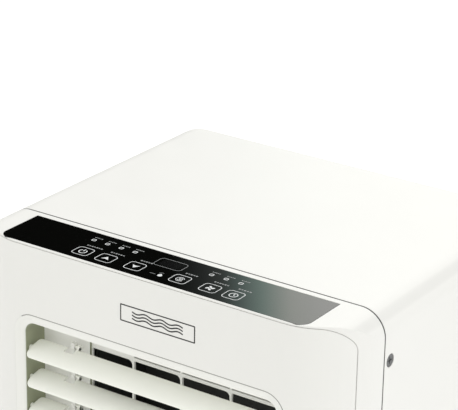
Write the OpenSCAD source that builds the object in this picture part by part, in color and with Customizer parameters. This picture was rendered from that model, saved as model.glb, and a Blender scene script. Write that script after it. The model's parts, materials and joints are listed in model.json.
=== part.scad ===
// Portable air conditioner: a narrow, tall cabinet on four casters.
// The control panel lies on top at the front, a louvred outlet is at the front near the top, and the
// filter, the exhaust port and the condenser intake are at the back.
// The origin is on the floor, at the middle of the width and the depth; the front faces -Y.

/* [Cabinet] */
// Width of the cabinet
body_w = 345; // [336:1:430]
// Depth of the cabinet
body_d = 292; // [286:1:360]
// Height of the top above the floor
body_h = 695; // [690:1:900]
// Thickness of the moulded shells
wall = 2.8; // [2:0.1:3.4]
// Depth of the front moulding, from the front face back to the seam
front_depth = 55; // [54:1:66]
// Radius of the two upright corners at the front
front_r = 52; // [48:1:54]
// Radius of the two upright corners at the back
back_r = 28; // [16:1:34]
// Radius of the long edges between the top and the sides
top_r = 20.6; // [10:0.1:26]
// Height of the lower edge of the skirt
skirt_z = 30; // [24:1:34]
// Width of the seam between the front and rear mouldings
seam_gap = 0.9; // [0.4:0.1:1.5]

/* [Front panel] */
// Distance of the front panel's outline from the sides of the cabinet
insert_side = 7.5; // [6:0.1:10]
// Distance of the front panel's outline from the top of the cabinet
insert_top = 3.2; // [3:0.1:5]
// Radius of the front panel's upper corners
insert_r = 20; // [12:1:26]
// Width of the groove round the front panel
groove = 0.8; // [0.4:0.1:1.2]

/* [Control panel] */
// Width of the glossy control lens
lens_w = 276; // [240:1:280]
// Depth of the control lens, front to back
lens_d = 44.4; // [40:0.1:45]
// Thickness of the control lens
lens_t = 2; // [1.5:0.1:2.4]
// Distance of the lens in front of the seam
lens_setback = 8; // [6:0.1:9.6]
// Radius of the lens's front corners
lens_r = 9; // [4:0.5:14]

/* [Air outlet] */
// Width of the outlet opening
outlet_w = 232; // [200:1:240]
// Distance of the opening's upper edge below the top of the cabinet
outlet_top = 67; // [60:1:80]
// Width of the rim round the opening
rim_w = 8; // [5:0.5:12]
// Depth of the recess that holds the blades
recess_d = 26; // [25:0.5:32]
// Number of horizontal blades
blade_n = 5; // [3:1:5]
// Distance from one blade to the next
blade_pitch = 25.4; // [22:0.1:30.5]
// Distance of the first blade's axis below the opening's upper edge
blade_first = 24.5; // [20:0.5:30]
// Width of a blade, front to back
blade_chord = 19; // [16:0.5:20]
// Thickness of a blade
blade_t = 2.2; // [1.6:0.1:2.6]
// Tilt of the blades at rest, with the rear edge up
blade_tilt = 33; // [20:1:45]
// Radius of a blade's end pins
blade_pin_r = 2; // [1.5:0.1:2.2]

/* [Back] */
// Width of the removable intake grille
grille_w = 224; // [180:1:240]
// Height of the removable intake grille
grille_h = 236; // [180:1:240]
// Inner radius of the exhaust port
port_r = 65; // [54:1:66]
// Distance of the exhaust port's centre from the middle
port_x = 62; // [50:1:66]

/* [Casters] */
// Radius of a caster wheel
caster_r = 18; // [15:0.5:18]
// Width of a caster wheel
caster_w = 18; // [14:0.5:20]
// Distance of the wheel's axle from the swivel axis
caster_trail = 9; // [6:0.5:10]

/* [Hidden] */
$fn = 64;

// Clearances
fit = 0.2;
run = 0.05;
seat = 0.3;

// Cabinet
front_y = -body_d / 2;
back_y = body_d / 2;
seam_y = front_y + front_depth;
half_w = body_w / 2;
flange_t = 2;
flange_w = 8;
tongue_t = 1.6;
tongue_l = 14;
panel_z = skirt_z + 6;

// Base
pan_z = 2 * caster_r + 10;
pan_t = 4;
floor_z = pan_z + pan_t;
pan_wall_z = pan_z + 44;
boss_h = 16;
boss_r = 9;

// Control panel, measured forward of the seam
lens_back_y = seam_y - lens_setback;
lens_mid_y = lens_back_y - lens_d / 2;
pad_t = 2.2;
board_z = body_h - 12.6;
board_t = 1.6;
board_top = board_z + board_t;
display_y = seam_y - 21.7;
led_y = seam_y - 19;
key_y = seam_y - 40;
led_x = [-74, -61, -48, -35, 35, 48, 61];
key_x = [-67.5, -45.7, -19.5, 20.9, 47.6, 68.1];
led_r = 1.5;
key_r = 5;
display_size = [26, 11];
board_hole_x = 110;
board_hole_y = [lens_mid_y - 11, lens_mid_y + 12];

// Outlet
open_top = body_h - outlet_top;
outlet_h = 2 * blade_first + (blade_n - 1) * blade_pitch;
open_low = open_top - outlet_h;
open_mid = (open_top + open_low) / 2;
open_r = 9;
recess_y = front_y + recess_d;
recess_t = 2.2;
duct_left = -71;
duct_right = outlet_w / 2 - 4;
duct_top = open_top - 11.5;
duct_low = open_low + 24;
grille_t = 8.5;
rib_step = 44;
pivot_y = front_y + 9;
function pivot_z(i) = open_top - blade_first - i * blade_pitch;
link_reach = 12;
link_x = -81;
link_t = 3.4;
link_pin_r = 1.2;
link_eye_r = 2.4;
crank_pin_r = 2;
lug_gap = 0.4;
crank_t = 2;
crank_l = 12;
link_dy = link_reach * cos(blade_tilt);
link_dz = link_reach * sin(blade_tilt);
crank_y = pivot_y + 24;
crank_z = pivot_z(2) - blade_pitch / 2;

// Fans
scroll_t = 2.5;
motor_r = 34;
upper_x = 20;
upper_z = open_low - recess_t - motor_r - 1.2;
upper_r = 62;
upper_front = recess_y + recess_t + grille_t + scroll_t;
upper_depth = 60;
shaft_r = 4;
disc_t = 2.5;
hub_l = 20;
vane_n = 24;
vane_t = 1.4;
intake_r = 11;
scroll_gap = 8;
scroll_grow = [16, 22];

// Deck between the cold side above and the warm side below
deck_t = 3;
deck_z = upper_z - 90;
shelf_z = deck_z + deck_t;

// Exhaust port and the fan that feeds it
box_s = port_r + 3;
port_z = deck_z - box_s - 6;
lower_x = -45;
lower_z = port_z - 81;
lower_r = 64;
lower_front = 8;
lower_depth = 66;

// Heat exchangers
coil_t = 24;
coil_back = back_y - wall - 12;
evap_w = 236;
evap_z = shelf_z + 21;
evap_top = body_h - 76;
cond_w = body_w - 75;
cond_z = pan_z + boss_h;
cond_top = port_z - box_s - 8;
tube_r = 4;
pipe_x = cond_w / 2 + 17;
pipe_y = coil_back - coil_t / 2;
bend_first = 30;
bend_step = 25;

// Back
grille_z = shelf_z + 34 + grille_h / 2;
collar_y = back_y - 36;
collar_t = 3;
slot_step = 9;
slot_h = 5;
slot_edge = 8;
slot_bar = 6;
cover_w = body_w - 2 * back_r - 8;
cover_low = skirt_z + 24;
cover_top = body_h - 28;
drain_x = -112;
drain_z = pan_z + 30;
drain_r = 5;
spout_y = back_y - 3.5;
plug_l = 6;
tray_drain_z = shelf_z + 12;
gland_x = -112;
gland_z = port_z - 26;
intake_low = pan_wall_z + 8;
intake_step = 9.5;
intake_rows = floor((cond_top - 2 - intake_low) / intake_step);

// Casters
caster_x = half_w - 38;
caster_front_y = front_y + 45;
caster_back_y = back_y - 40;
stem_r = 4;
axle_r = 2.5;
yoke_t = 3;
tread_w = caster_w - 6;
caster_places = [
    [-caster_x, caster_front_y], [caster_x, caster_front_y],
    [-caster_x, caster_back_y], [caster_x, caster_back_y]
];

// Control box
box_low = [-146, front_y + 16, deck_z - 110];
box_high = [-24, seam_y + 2, deck_z];

// Compressor
comp_x = 92;
comp_y = seam_y + 39;
comp_r = 55;
foot_reach = 68;
foot_z = 14;
foot_t = 5;
foot_angles = [90, 210, 330];
foot_places = [for (a = foot_angles) [comp_x + foot_reach * cos(a), comp_y + foot_reach * sin(a)]];
bolt_r = 3;
grommet_r = 5;
acc_x = comp_x - comp_r - 28;
acc_y = comp_y - 22;
acc_z = 55;
acc_h = 90;
acc_r = 18;
comp_h = 188;
comp_top = floor_z + comp_h;

// Side screws and grips
screw_r = 5.2;
shank_r = 1.9;
screw_depth = 1.6;
screw_y = seam_y + 8.6;
screw_z = [body_h - 40.5, body_h / 2, pan_wall_z + 20];
grip_y = 20;
grip_z = body_h - 200;
grip_l = 110;
grip_h = 36;
grip_in = 20;

// Badge
badge_size = [68, 14];
badge_t = 0.6;
badge_x = 12;
badge_z = body_h - 32;

// ---------- helpers ----------

// Flat outline in X and Y of the cabinet, drawn in by inset.
module plan2d(inset = 0) {
    x = half_w - inset;
    square_from(-x, front_y + front_r, x, back_y - back_r);
    square_from(-half_w + front_r, front_y + inset, half_w - front_r, 0);
    square_from(-half_w + back_r, 0, half_w - back_r, back_y - inset);
    for (s = [-1, 1]) {
        translate([s * (half_w - front_r), front_y + front_r]) circle(r = front_r - inset);
        translate([s * (half_w - back_r), back_y - back_r]) circle(r = back_r - inset);
    }
}

// Flat outline in X and Z of the cabinet, drawn in by inset at the top and sides.
module front2d(inset = 0, low = 0) {
    x = half_w - inset;
    square_from(-x, low, x, body_h - top_r);
    square_from(-half_w + top_r, body_h / 2, half_w - top_r, body_h - inset);
    for (s = [-1, 1])
        translate([s * (half_w - top_r), body_h - top_r]) circle(r = top_r - inset);
}

module square_from(x0, y0, x1, y1) {
    translate([x0, y0]) square([x1 - x0, y1 - y0]);
}

// Rectangle with round corners, exact, about its own centre.
module round_rect(w, h, r) {
    square([w - 2 * r, h], center = true);
    square([w, h - 2 * r], center = true);
    for (sx = [-1, 1], sy = [-1, 1])
        translate([sx * (w / 2 - r), sy * (h / 2 - r)]) circle(r = r);
}

// Box between two corners.
module box(a, b) {
    translate(a) cube(b - a);
}

// Upright outline pushed through a span of Y.
module along_y(y0, y1) {
    translate([0, y1, 0]) rotate([90, 0, 0]) linear_extrude(height = y1 - y0) children();
}

// Round bar along Y between two depths.
module rod_y(x, z, y0, y1, r) {
    translate([x, y1, z]) rotate([90, 0, 0]) cylinder(h = y1 - y0, r = r);
}

// Round bar along X between two places.
module rod_x(y, z, x0, x1, r) {
    translate([x0, y, z]) rotate([0, 90, 0]) cylinder(h = x1 - x0, r = r);
}

// Solid cabinet, drawn in by inset, down to a given height.
module cabinet(inset, low) {
    intersection() {
        translate([0, 0, low]) linear_extrude(height = body_h - low) plan2d(inset);
        along_y(front_y - 1, back_y + 1) front2d(inset, low);
    }
}

// Skin of the cabinet between two insets.
module skin(outer, inner, low) {
    difference() {
        cabinet(outer, low);
        cabinet(inner, low - 5);
    }
}

module keep_y(y0, y1) {
    box([-half_w - 5, y0, 0], [half_w + 5, y1, body_h + 5]);
}

// Outline of the front panel, drawn in by inset.
module insert2d(inset = 0) {
    x = half_w - insert_side - inset;
    top = body_h - insert_top - inset;
    r = insert_r - inset;
    square_from(-x, panel_z + inset, x, top - r);
    square_from(-x + r, panel_z + inset, x - r, top);
    for (s = [-1, 1])
        translate([s * (x - r), top - r]) circle(r = r);
}

// Straight pipe with round joints along a list of points.
module pipe(points, r) {
    for (i = [0 : len(points) - 2])
        link(points[i], points[i + 1], r);
    for (i = [1 : len(points) - 2])
        translate(points[i]) sphere(r = r);
}

module link(a, b, r) {
    d = b - a;
    length = norm(d);
    translate(a)
        rotate([0, acos(d[2] / length), atan2(d[1], d[0])])
            cylinder(h = length, r = r);
}

// Outline of a fan scroll about its own centre: a radius that grows with the angle.
function spiral(r0, r1) = [
    for (i = [0 : 59]) let (a = 90 - i * 6, r = r1 - (r1 - r0) * i / 59) [r * cos(a), r * sin(a)]
];

// ---------- cabinet ----------

module lens2d(grow = 0) {
    w = lens_w + 2 * grow;
    r = lens_r + grow;
    y0 = lens_back_y - lens_d - grow;
    square_from(-w / 2, y0 + r, w / 2, lens_back_y + grow);
    square_from(-w / 2 + r, y0, w / 2 - r, y0 + r);
    for (s = [-1, 1])
        translate([s * (w / 2 - r), y0 + r]) circle(r = r);
}

module screws_x(r) {
    for (z = screw_z)
        rod_x(screw_y, z, -half_w - 1, half_w + 1, r);
}

// Ring behind the outline of the front panel.
module flange(outer, from, to) {
    intersection() {
        skin(outer, wall + flange_t, skirt_z);
        along_y(front_y, seam_y - seam_gap / 2) difference() {
            insert2d(from);
            insert2d(to);
        }
    }
}

module front_frame() {
    pad_y = lens_back_y - lens_d + 3;
    pad_z = body_h - wall - pad_t;
    color("white") difference() {
        union() {
            intersection() {
                skin(0, wall, skirt_z);
                difference() {
                    keep_y(front_y - 1, seam_y - seam_gap / 2);
                    along_y(front_y - 2, seam_y - 8) insert2d(0);
                }
            }
            // Flange that the front panel lies on, and its root in the frame
            flange(wall + 0.1, -0.5, flange_w);
            flange(wall - 0.5, -insert_side + 2, -0.3);
            // Tongue that enters the rear moulding
            intersection() {
                skin(wall + fit, wall + fit + tongue_t, pan_wall_z + 4);
                keep_y(seam_y - 6, seam_y + tongue_l);
            }
            intersection() {
                skin(wall - 0.5, wall + fit + tongue_t, pan_wall_z + 4);
                keep_y(seam_y - 6, seam_y - seam_gap / 2);
            }
            // Pad under the lens, with the board's bosses
            box([-lens_w / 2 - 2, pad_y, pad_z],
                [lens_w / 2 + 2, lens_back_y + 2, body_h - lens_t - 0.5]);
            for (x = [-board_hole_x, board_hole_x], y = board_hole_y)
                translate([x, y, board_top]) cylinder(h = pad_z + 1 - board_top, r = 3.5);
        }
        translate([0, 0, body_h - lens_t]) linear_extrude(height = 5) lens2d(fit);
        translate([0, display_y, 0]) box(
            [-display_size[0] / 2 - seat, -display_size[1] / 2 - seat, pad_z - 1],
            [display_size[0] / 2 + seat, display_size[1] / 2 + seat, body_h]);
        for (x = led_x)
            translate([x, led_y, pad_z - 1]) cylinder(h = 10, r = led_r + seat);
        screws_x(shank_r + 0.1);
    }
}

module front_panel() {
    color("white") difference() {
        intersection() {
            skin(0, wall, skirt_z);
            along_y(front_y - 2, seam_y - 8) insert2d(groove);
        }
        translate([0, 0, open_mid]) along_y(front_y - 2, front_y + 10)
            round_rect(outlet_w + 2 * rim_w + 1, outlet_h + 2 * rim_w + 1, open_r + rim_w);
        translate([badge_x, 0, badge_z]) along_y(front_y - 1, front_y + badge_t)
            square(badge_size + [fit, fit], center = true);
    }
}

module rear_housing() {
    color("white") difference() {
        union() {
            intersection() {
                skin(0, wall, skirt_z);
                keep_y(seam_y + seam_gap / 2, back_y + 1);
            }
            // Ledge that the back cover lies on
            along_y(back_y - wall - flange_t, back_y - 1)
                square_from(-cover_w / 2 - 6, cover_low - 6, cover_w / 2 + 6, cover_top + 6);
        }
        along_y(back_y - wall - flange_t - 1, back_y + 1)
            square_from(-cover_w / 2 + 6, cover_low + 6, cover_w / 2 - 6, cover_top - 6);
        along_y(back_y - wall, back_y + 1)
            square_from(-cover_w / 2 - 0.5, cover_low - 0.5, cover_w / 2 + 0.5, cover_top + 0.5);
        screws_x(shank_r + 0.1);
        for (z = screw_z, s = [-1, 1])
            rod_x(screw_y, z, s * half_w - screw_depth, s * half_w + screw_depth, screw_r);
        for (s = [-1, 1])
            translate([s * half_w, grip_y, grip_z])
                cube([10, grip_l + 2 * fit, grip_h + 2 * fit], center = true);
    }
}

module side_screws() {
    head_t = screw_depth - 0.4;
    color("dimgray") for (z = screw_z, s = [-1, 1])
        translate([s * (half_w - screw_depth), screw_y, z]) rotate([0, s * 90, 0]) difference() {
            union() {
                cylinder(h = head_t, r = screw_r - 0.1);
                translate([0, 0, -8]) cylinder(h = 8.5, r = shank_r);
            }
            translate([0, 0, head_t]) cube([1, 5.5, 1.6], center = true);
            translate([0, 0, head_t]) cube([5.5, 1, 1.6], center = true);
        }
}

module grip(s) {
    color("whitesmoke") translate([s * half_w, grip_y, grip_z]) mirror([s > 0 ? 1 : 0, 0, 0])
        difference() {
            translate([0, -grip_l / 2, -grip_h / 2]) cube([grip_in, grip_l, grip_h]);
            translate([-1, -grip_l / 2 + 2, -grip_h / 2 + 2]) cube([grip_in - 1, grip_l - 4, grip_h - 4]);
        }
}

module back_cover() {
    low = grille_z - grille_h / 2;
    color("white") difference() {
        union() {
            along_y(back_y - wall, back_y) square_from(-cover_w / 2, cover_low, cover_w / 2, cover_top);
            // Ledge that the intake grille lies on
            along_y(back_y - wall - flange_t, back_y - 1)
                square_from(-grille_w / 2 - 5, low - 5, grille_w / 2 + 5, low + grille_h + 5);
        }
        along_y(back_y - 10, back_y + 1)
            square_from(-grille_w / 2 + 6, low + 6, grille_w / 2 - 6, low + grille_h - 6);
        along_y(back_y - wall, back_y + 1)
            square_from(-grille_w / 2 - fit, low - fit, grille_w / 2 + fit, low + grille_h + fit);
        rod_y(port_x, port_z, back_y - 10, back_y + 1, port_r + collar_t + fit);
        for (z = [drain_z, tray_drain_z])
            rod_y(drain_x, z, back_y - 10, back_y + 1, drain_r + 3.5);
        rod_y(gland_x, gland_z, back_y - 10, back_y + 1, 9.1);
        for (row = [0 : intake_rows - 1], col = [-1, 0, 1])
            translate([col * 78, back_y, intake_low + row * intake_step])
                box([-36, -5, 0], [36, 1, 4.5]);
    }
}

// Outline of the base pan and the deck: inside the shells, clear of the flange,
// the tongue and the back cover's ledge.
module pan2d(inset) {
    difference() {
        union() {
            plan2d(wall + flange_t + fit + inset);
            intersection() {
                plan2d(wall + fit + inset);
                square_from(-half_w, seam_y + tongue_l + 1, half_w, back_y);
            }
        }
        square_from(-cover_w / 2 - 7 - inset, back_y - wall - flange_t - fit - inset,
                    cover_w / 2 + 7 + inset, back_y + 1);
    }
}

module base_pan() {
    color("gray") difference() {
        union() {
            translate([0, 0, pan_z]) linear_extrude(height = pan_t) pan2d(0);
            translate([0, 0, pan_z]) linear_extrude(height = pan_wall_z - pan_z) difference() {
                pan2d(0);
                pan2d(2.5);
            }
            for (p = caster_places)
                translate([p[0], p[1], pan_z]) cylinder(h = boss_h, r = boss_r);
            rod_y(drain_x, drain_z, back_y - wall - flange_t - 1, spout_y, drain_r + 3);
            for (p = foot_places)
                translate([p[0], p[1], pan_z + 1]) cylinder(h = pan_t + foot_z + foot_t - 2, r = bolt_r);
        }
        for (p = caster_places)
            translate([p[0], p[1], pan_z - 1]) cylinder(h = boss_h - 2, r = stem_r + run);
        rod_y(drain_x, drain_z, back_y - 20, back_y, drain_r);
    }
}

module mid_deck() {
    color("silver") difference() {
        translate([0, 0, deck_z]) linear_extrude(height = deck_t) pan2d(0);
        for (s = [-1, 1])
            translate([s * pipe_x, pipe_y, deck_z - 1]) cylinder(h = 10, r = 8);
    }
}

// ---------- control panel ----------

module control_lens() {
    color("black") translate([0, 0, body_h - lens_t]) linear_extrude(height = lens_t) lens2d(0);
}

module control_board() {
    color("darkgreen") difference() {
        box([-118, lens_mid_y - 17, board_z], [118, lens_mid_y + 19, board_top]);
        for (x = [-board_hole_x, board_hole_x], y = board_hole_y)
            translate([x, y, board_z - 1]) cylinder(h = 5, r = 1.2);
    }
}

module display_module() {
    color("dimgray") box(
        [-display_size[0] / 2, display_y - display_size[1] / 2, board_top],
        [display_size[0] / 2, display_y + display_size[1] / 2, body_h - lens_t - 0.1]);
}

module indicator_leds() {
    color("orange") for (x = led_x)
        translate([x, led_y, board_top]) cylinder(h = body_h - lens_t - 0.1 - board_top, r = led_r);
}

module touch_pads() {
    color("lightgray") for (x = key_x)
        translate([x, key_y, board_top]) cylinder(h = body_h - wall - pad_t - board_top, r = key_r);
}

module badge() {
    color("black") translate([badge_x, 0, badge_z]) along_y(front_y, front_y + badge_t)
        square(badge_size, center = true);
}

// ---------- outlet ----------

module outlet_frame() {
    color("whitesmoke") difference() {
        union() {
            translate([0, 0, open_mid]) along_y(front_y, front_y + wall + flange_t)
                round_rect(outlet_w + 2 * rim_w, outlet_h + 2 * rim_w, open_r + rim_w - 0.5);
            translate([0, 0, open_mid]) along_y(front_y + wall, front_y + wall + flange_t)
                square([outlet_w - 8, outlet_h + 2 * rim_w + 8], center = true);
            translate([0, 0, open_mid]) along_y(front_y, recess_y + recess_t)
                round_rect(outlet_w + 2 * recess_t, outlet_h + 2 * recess_t, open_r + recess_t);
        }
        translate([0, 0, open_mid]) along_y(front_y - 1, recess_y)
            round_rect(outlet_w, outlet_h, open_r);
        along_y(recess_y - 1, recess_y + recess_t + 1)
            square_from(duct_left, duct_low, duct_right, duct_top);
        for (i = [0 : blade_n - 1])
            rod_x(pivot_y, pivot_z(i), -half_w, half_w, blade_pin_r + run);
        // Slot for the link's driving lug
        box([link_x - 7, recess_y - 1, crank_z - 3],
            [link_x + 3, recess_y + recess_t + 1, crank_z + 15]);
    }
}

module outlet_grille() {
    y0 = recess_y + recess_t;
    y1 = y0 + grille_t;
    color("whitesmoke") {
        along_y(y0, y1) difference() {
            square_from(duct_left - 2.5, duct_low - 2.5, duct_right + 2.5, duct_top + 2.5);
            square_from(duct_left, duct_low, duct_right, duct_top);
        }
        for (x = [duct_left + rib_step : rib_step : duct_right - 5])
            box([x - 0.8, y0, duct_low - 1], [x + 0.8, y1, duct_top + 1]);
        box([duct_left - 1, y0, duct_top - 4.4], [duct_right + 1, y0 + 3, duct_top - 1.6]);
        box([duct_left - 1, y0, duct_low + 6], [duct_right + 1, y0 + 3, duct_low + 8.8]);
    }
}

// Section of a blade about its axis: a shallow arc with the rear edge at +X.
function blade_arc(bow, side) = [
    for (i = [0 : 10])
        let (u = -1 + i / 5, k = side > 0 ? u : -u)
        [k * blade_chord / 2, bow * (1 - k * k) + side * blade_t / 2 * sqrt(max(0, 1 - pow(k, 6)))]
];

module blade_section() {
    polygon(concat(blade_arc(1.2, 1), blade_arc(1.2, -1)));
}

module louver(i) {
    z = pivot_z(i);
    end = outlet_w / 2 - 1;
    color("whitesmoke") {
        difference() {
            translate([-end, pivot_y, z]) rotate([blade_tilt, 0, 0])
                rotate([90, 0, 90]) linear_extrude(height = 2 * end) blade_section();
            // Notch that the link bar passes through
            translate([link_x, pivot_y, z]) rotate([blade_tilt, 0, 0])
                translate([-4.5, 4, -8]) cube([9, 20, 16]);
            rod_x(pivot_y, z, -end - 1, -end + 3, blade_pin_r);
            rod_x(pivot_y, z, end - 3, end + 1, blade_pin_r);
        }
        rod_x(pivot_y, z, -end - 3, -end + 3, blade_pin_r);
        rod_x(pivot_y, z, end - 3, end + 3, blade_pin_r);
        // Arm and pin for the link bar
        translate([link_x + 4.5, pivot_y, z]) rotate([blade_tilt, 0, 0]) {
            translate([0, 5, -1.3]) cube([2, link_reach - 5, 2.6]);
            rotate([0, 90, 0]) translate([0, link_reach, 0]) cylinder(h = 2, r = 2.2);
            rotate([0, -90, 0]) translate([0, link_reach, -0.5]) cylinder(h = 8, r = link_pin_r);
        }
    }
}

module louver_link() {
    bar_y = pivot_y + link_dy;
    arm_y = crank_y + link_dy;
    arm_z = crank_z + link_dz;
    low = pivot_z(blade_n - 1) + link_dz - 3;
    high = pivot_z(0) + link_dz + 3;
    x0 = link_x - link_t / 2;
    x1 = link_x + link_t / 2;
    color("white") difference() {
        union() {
            box([x0, bar_y - 1.75, low], [x1, bar_y + 1.75, high]);
            box([x0, bar_y, arm_z - 1.3], [x1, arm_y, arm_z + 1.3]);
            rod_x(arm_y, arm_z, x0, x1, link_eye_r);
            for (i = [0 : blade_n - 1])
                rod_x(bar_y, pivot_z(i) + link_dz, x0, x1, link_eye_r);
        }
        rod_x(arm_y, arm_z, x0 - 1, x1 + 1, link_pin_r + run);
        for (i = [0 : blade_n - 1])
            rod_x(bar_y, pivot_z(i) + link_dz, x0 - 1, x1 + 1, link_pin_r + run);
    }
}

module swing_crank() {
    x1 = link_x - link_t / 2 - lug_gap;
    color("gray") {
        rod_x(crank_y, crank_z, x1 - crank_l, x1, crank_pin_r);
        difference() {
            translate([x1 - crank_t, crank_y, crank_z]) rotate([blade_tilt, 0, 0]) union() {
                translate([0, 0, -2]) cube([crank_t, link_reach, 4]);
                rotate([0, 90, 0]) cylinder(h = crank_t, r = 4);
                translate([0, link_reach, 0]) rotate([0, 90, 0]) cylinder(h = crank_t, r = link_eye_r);
            }
            rod_x(crank_y, crank_z, x1 - 5, x1 + 1, crank_pin_r);
        }
        rod_x(crank_y + link_dy, crank_z + link_dz, x1 - 0.5, link_x + link_t / 2 + 0.6, link_pin_r);
    }
}

module swing_motor() {
    x1 = link_x - link_t / 2 - lug_gap - crank_t - seat;
    y0 = recess_y + recess_t;
    color("silver") difference() {
        union() {
            rod_x(crank_y + 3, crank_z, x1 - 16, x1, 11.6);
            box([x1 - 3, y0, crank_z - 20], [x1 - 1.8, crank_y + 8, crank_z + 20]);
        }
        rod_x(crank_y, crank_z, x1 - crank_l, x1 + 1, crank_pin_r + run);
        box([x1 - 30, y0 - 10, crank_z - 30], [x1 + 5, y0, crank_z + 30]);
    }
}

// ---------- fans ----------

module upper2d(grow) {
    translate([upper_x, upper_z]) 
        polygon(spiral(upper_r + scroll_gap + grow, upper_r + scroll_gap + scroll_grow[0] + grow));
    square_from(duct_left - grow, upper_z + 4 - grow, duct_right + grow, duct_top + grow);
}

module upper_scroll() {
    y0 = upper_front;
    color("lightgray") difference() {
        along_y(y0 - scroll_t, y0 + upper_depth) upper2d(scroll_t);
        along_y(y0, y0 + upper_depth + 1) upper2d(0);
        along_y(y0 - 10, y0 + 1) square_from(duct_left, duct_low, duct_right, duct_top);
        rod_y(upper_x, upper_z, y0 - 10, y0 + 1, motor_r + seat);
    }
}

module upper_scroll_cover() {
    y0 = upper_front + upper_depth;
    color("lightgray") difference() {
        union() {
            along_y(y0, y0 + scroll_t) upper2d(scroll_t);
            rod_y(upper_x, upper_z, y0 - 5, y0 + 1, upper_r - intake_r + 3);
        }
        rod_y(upper_x, upper_z, y0 - 10, y0 + 10, upper_r - intake_r);
    }
}

// Blower wheel along Y: hub disc, blades, rim ring and its shaft.
module blower(x, z, y0, length, r, shaft_back) {
    color("darkslategray") {
        difference() {
            union() {
                rod_y(x, z, y0, y0 + disc_t, r);
                rod_y(x, z, y0, y0 + hub_l, 10);
            }
            rod_y(x, z, y0 - 1, y0 + hub_l + 1, shaft_r);
        }
        difference() {
            rod_y(x, z, y0 + length - disc_t, y0 + length, r);
            rod_y(x, z, y0 + length - disc_t - 1, y0 + length + 1, r - 10);
        }
        for (i = [0 : vane_n - 1])
            translate([x, 0, z]) rotate([0, i * 360 / vane_n, 0]) translate([r - 9, y0 + 2, 0])
                rotate([0, 35, 0]) translate([0, 0, -vane_t / 2]) cube([8, length - 4, vane_t]);
        rod_y(x, z, y0 - shaft_back, y0 + hub_l, shaft_r);
    }
}

// Motor can along Y with a bore for the shaft.
module fan_motor(x, z, y0, y1, flange_y) {
    color("silver") difference() {
        union() {
            rod_y(x, z, y0, y1, motor_r);
            rod_y(x, z, flange_y - 2, flange_y, motor_r + 8);
        }
        rod_y(x, z, y0 + 4, y1 + 1, shaft_r + run);
    }
}

module upper_motor() {
    fan_motor(upper_x, upper_z, front_y + wall + 8, upper_front + 3, upper_front - scroll_t);
}

module upper_wheel() {
    blower(upper_x, upper_z, upper_front + 6, upper_depth - 14, upper_r, 24);
}

module lower2d(grow) {
    translate([lower_x, lower_z]) 
        polygon(spiral(lower_r + scroll_gap + grow, lower_r + scroll_gap + scroll_grow[1] + grow));
    s = box_s + grow;
    square_from(port_x - s, port_z - s, port_x + s, port_z + s);
}

module lower_scroll() {
    y0 = lower_front;
    color("lightgray") difference() {
        union() {
            along_y(y0 - scroll_t, y0 + lower_depth) lower2d(scroll_t);
            // Foot on the base pan
            box([lower_x - 30, y0 - scroll_t, floor_z], [lower_x + 30, y0 + 10, lower_z - lower_r - 12]);
        }
        along_y(y0, y0 + lower_depth + 1) lower2d(0);
        rod_y(lower_x, lower_z, y0 - 10, y0 + 1, motor_r + seat);
    }
}

module lower_scroll_cover() {
    y0 = lower_front + lower_depth;
    color("lightgray") difference() {
        union() {
            along_y(y0, y0 + scroll_t) lower2d(scroll_t);
            rod_y(lower_x, lower_z, y0 - 5, y0 + 1, lower_r - intake_r + 3);
            rod_y(port_x, port_z, y0, collar_y, port_r + collar_t);
        }
        rod_y(lower_x, lower_z, y0 - 10, y0 + 10, lower_r - intake_r);
        rod_y(port_x, port_z, y0 - 1, collar_y + 1, port_r);
    }
}

module lower_motor() {
    fan_motor(lower_x, lower_z, lower_front - 44, lower_front + 3, lower_front - scroll_t);
}

module lower_wheel() {
    blower(lower_x, lower_z, lower_front + 6, lower_depth - 14, lower_r, 36);
}

// ---------- cooling circuit ----------

module coil(w, z0, z1) {
    y1 = coil_back;
    color("gainsboro") {
        box([-w / 2, y1 - coil_t, z0], [w / 2, y1, z1]);
        for (s = [-1, 1])
            box([s * w / 2 - 0.8, y1 - coil_t - 2, z0], [s * w / 2 + 0.8, y1 + 2, z1]);
    }
}

// Hairpin bends at both ends of a coil, clear of its pipe ends.
module bends(w, z0, z1) {
    n = floor((z1 - z0 - 40) / bend_step);
    color("peru") for (i = [0 : n - 1], s = [-1, 1])
        translate([s * (w / 2 + 0.8), pipe_y, z0 + bend_first + i * bend_step])
            rotate([0, 0, s > 0 ? 0 : 180]) rotate([90, 0, 0]) rotate([0, 0, -90])
                rotate_extrude(angle = 180) translate([6, 0]) circle(r = 2.5);
}

module evaporator_coil() {
    coil(evap_w, evap_z, evap_top);
}

module evaporator_tubes() {
    bends(evap_w, evap_z, evap_top);
}

module condenser_coil() {
    coil(cond_w, cond_z, cond_top);
}

module condenser_tubes() {
    bends(cond_w, cond_z, cond_top);
}

module drip_tray() {
    y1 = coil_back + 5;
    y0 = coil_back - coil_t - 8;
    w = evap_w / 2 + 8;
    color("lightgray") difference() {
        union() {
            box([-w, y0, shelf_z], [w, y1, evap_z + 8]);
            rod_y(drain_x, tray_drain_z, y1 - 1, spout_y, drain_r + 3);
        }
        box([-w + 2, y0 + 2, shelf_z + 2], [w - 2, y1 - 2, evap_z + 20]);
        rod_y(drain_x, tray_drain_z, y1 - 5, back_y, drain_r);
    }
    color("lightgray") for (x = [-90, 0, 90])
        box([x - 4, coil_back - coil_t, shelf_z + 1.9], [x + 4, coil_back, evap_z]);
}

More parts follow.
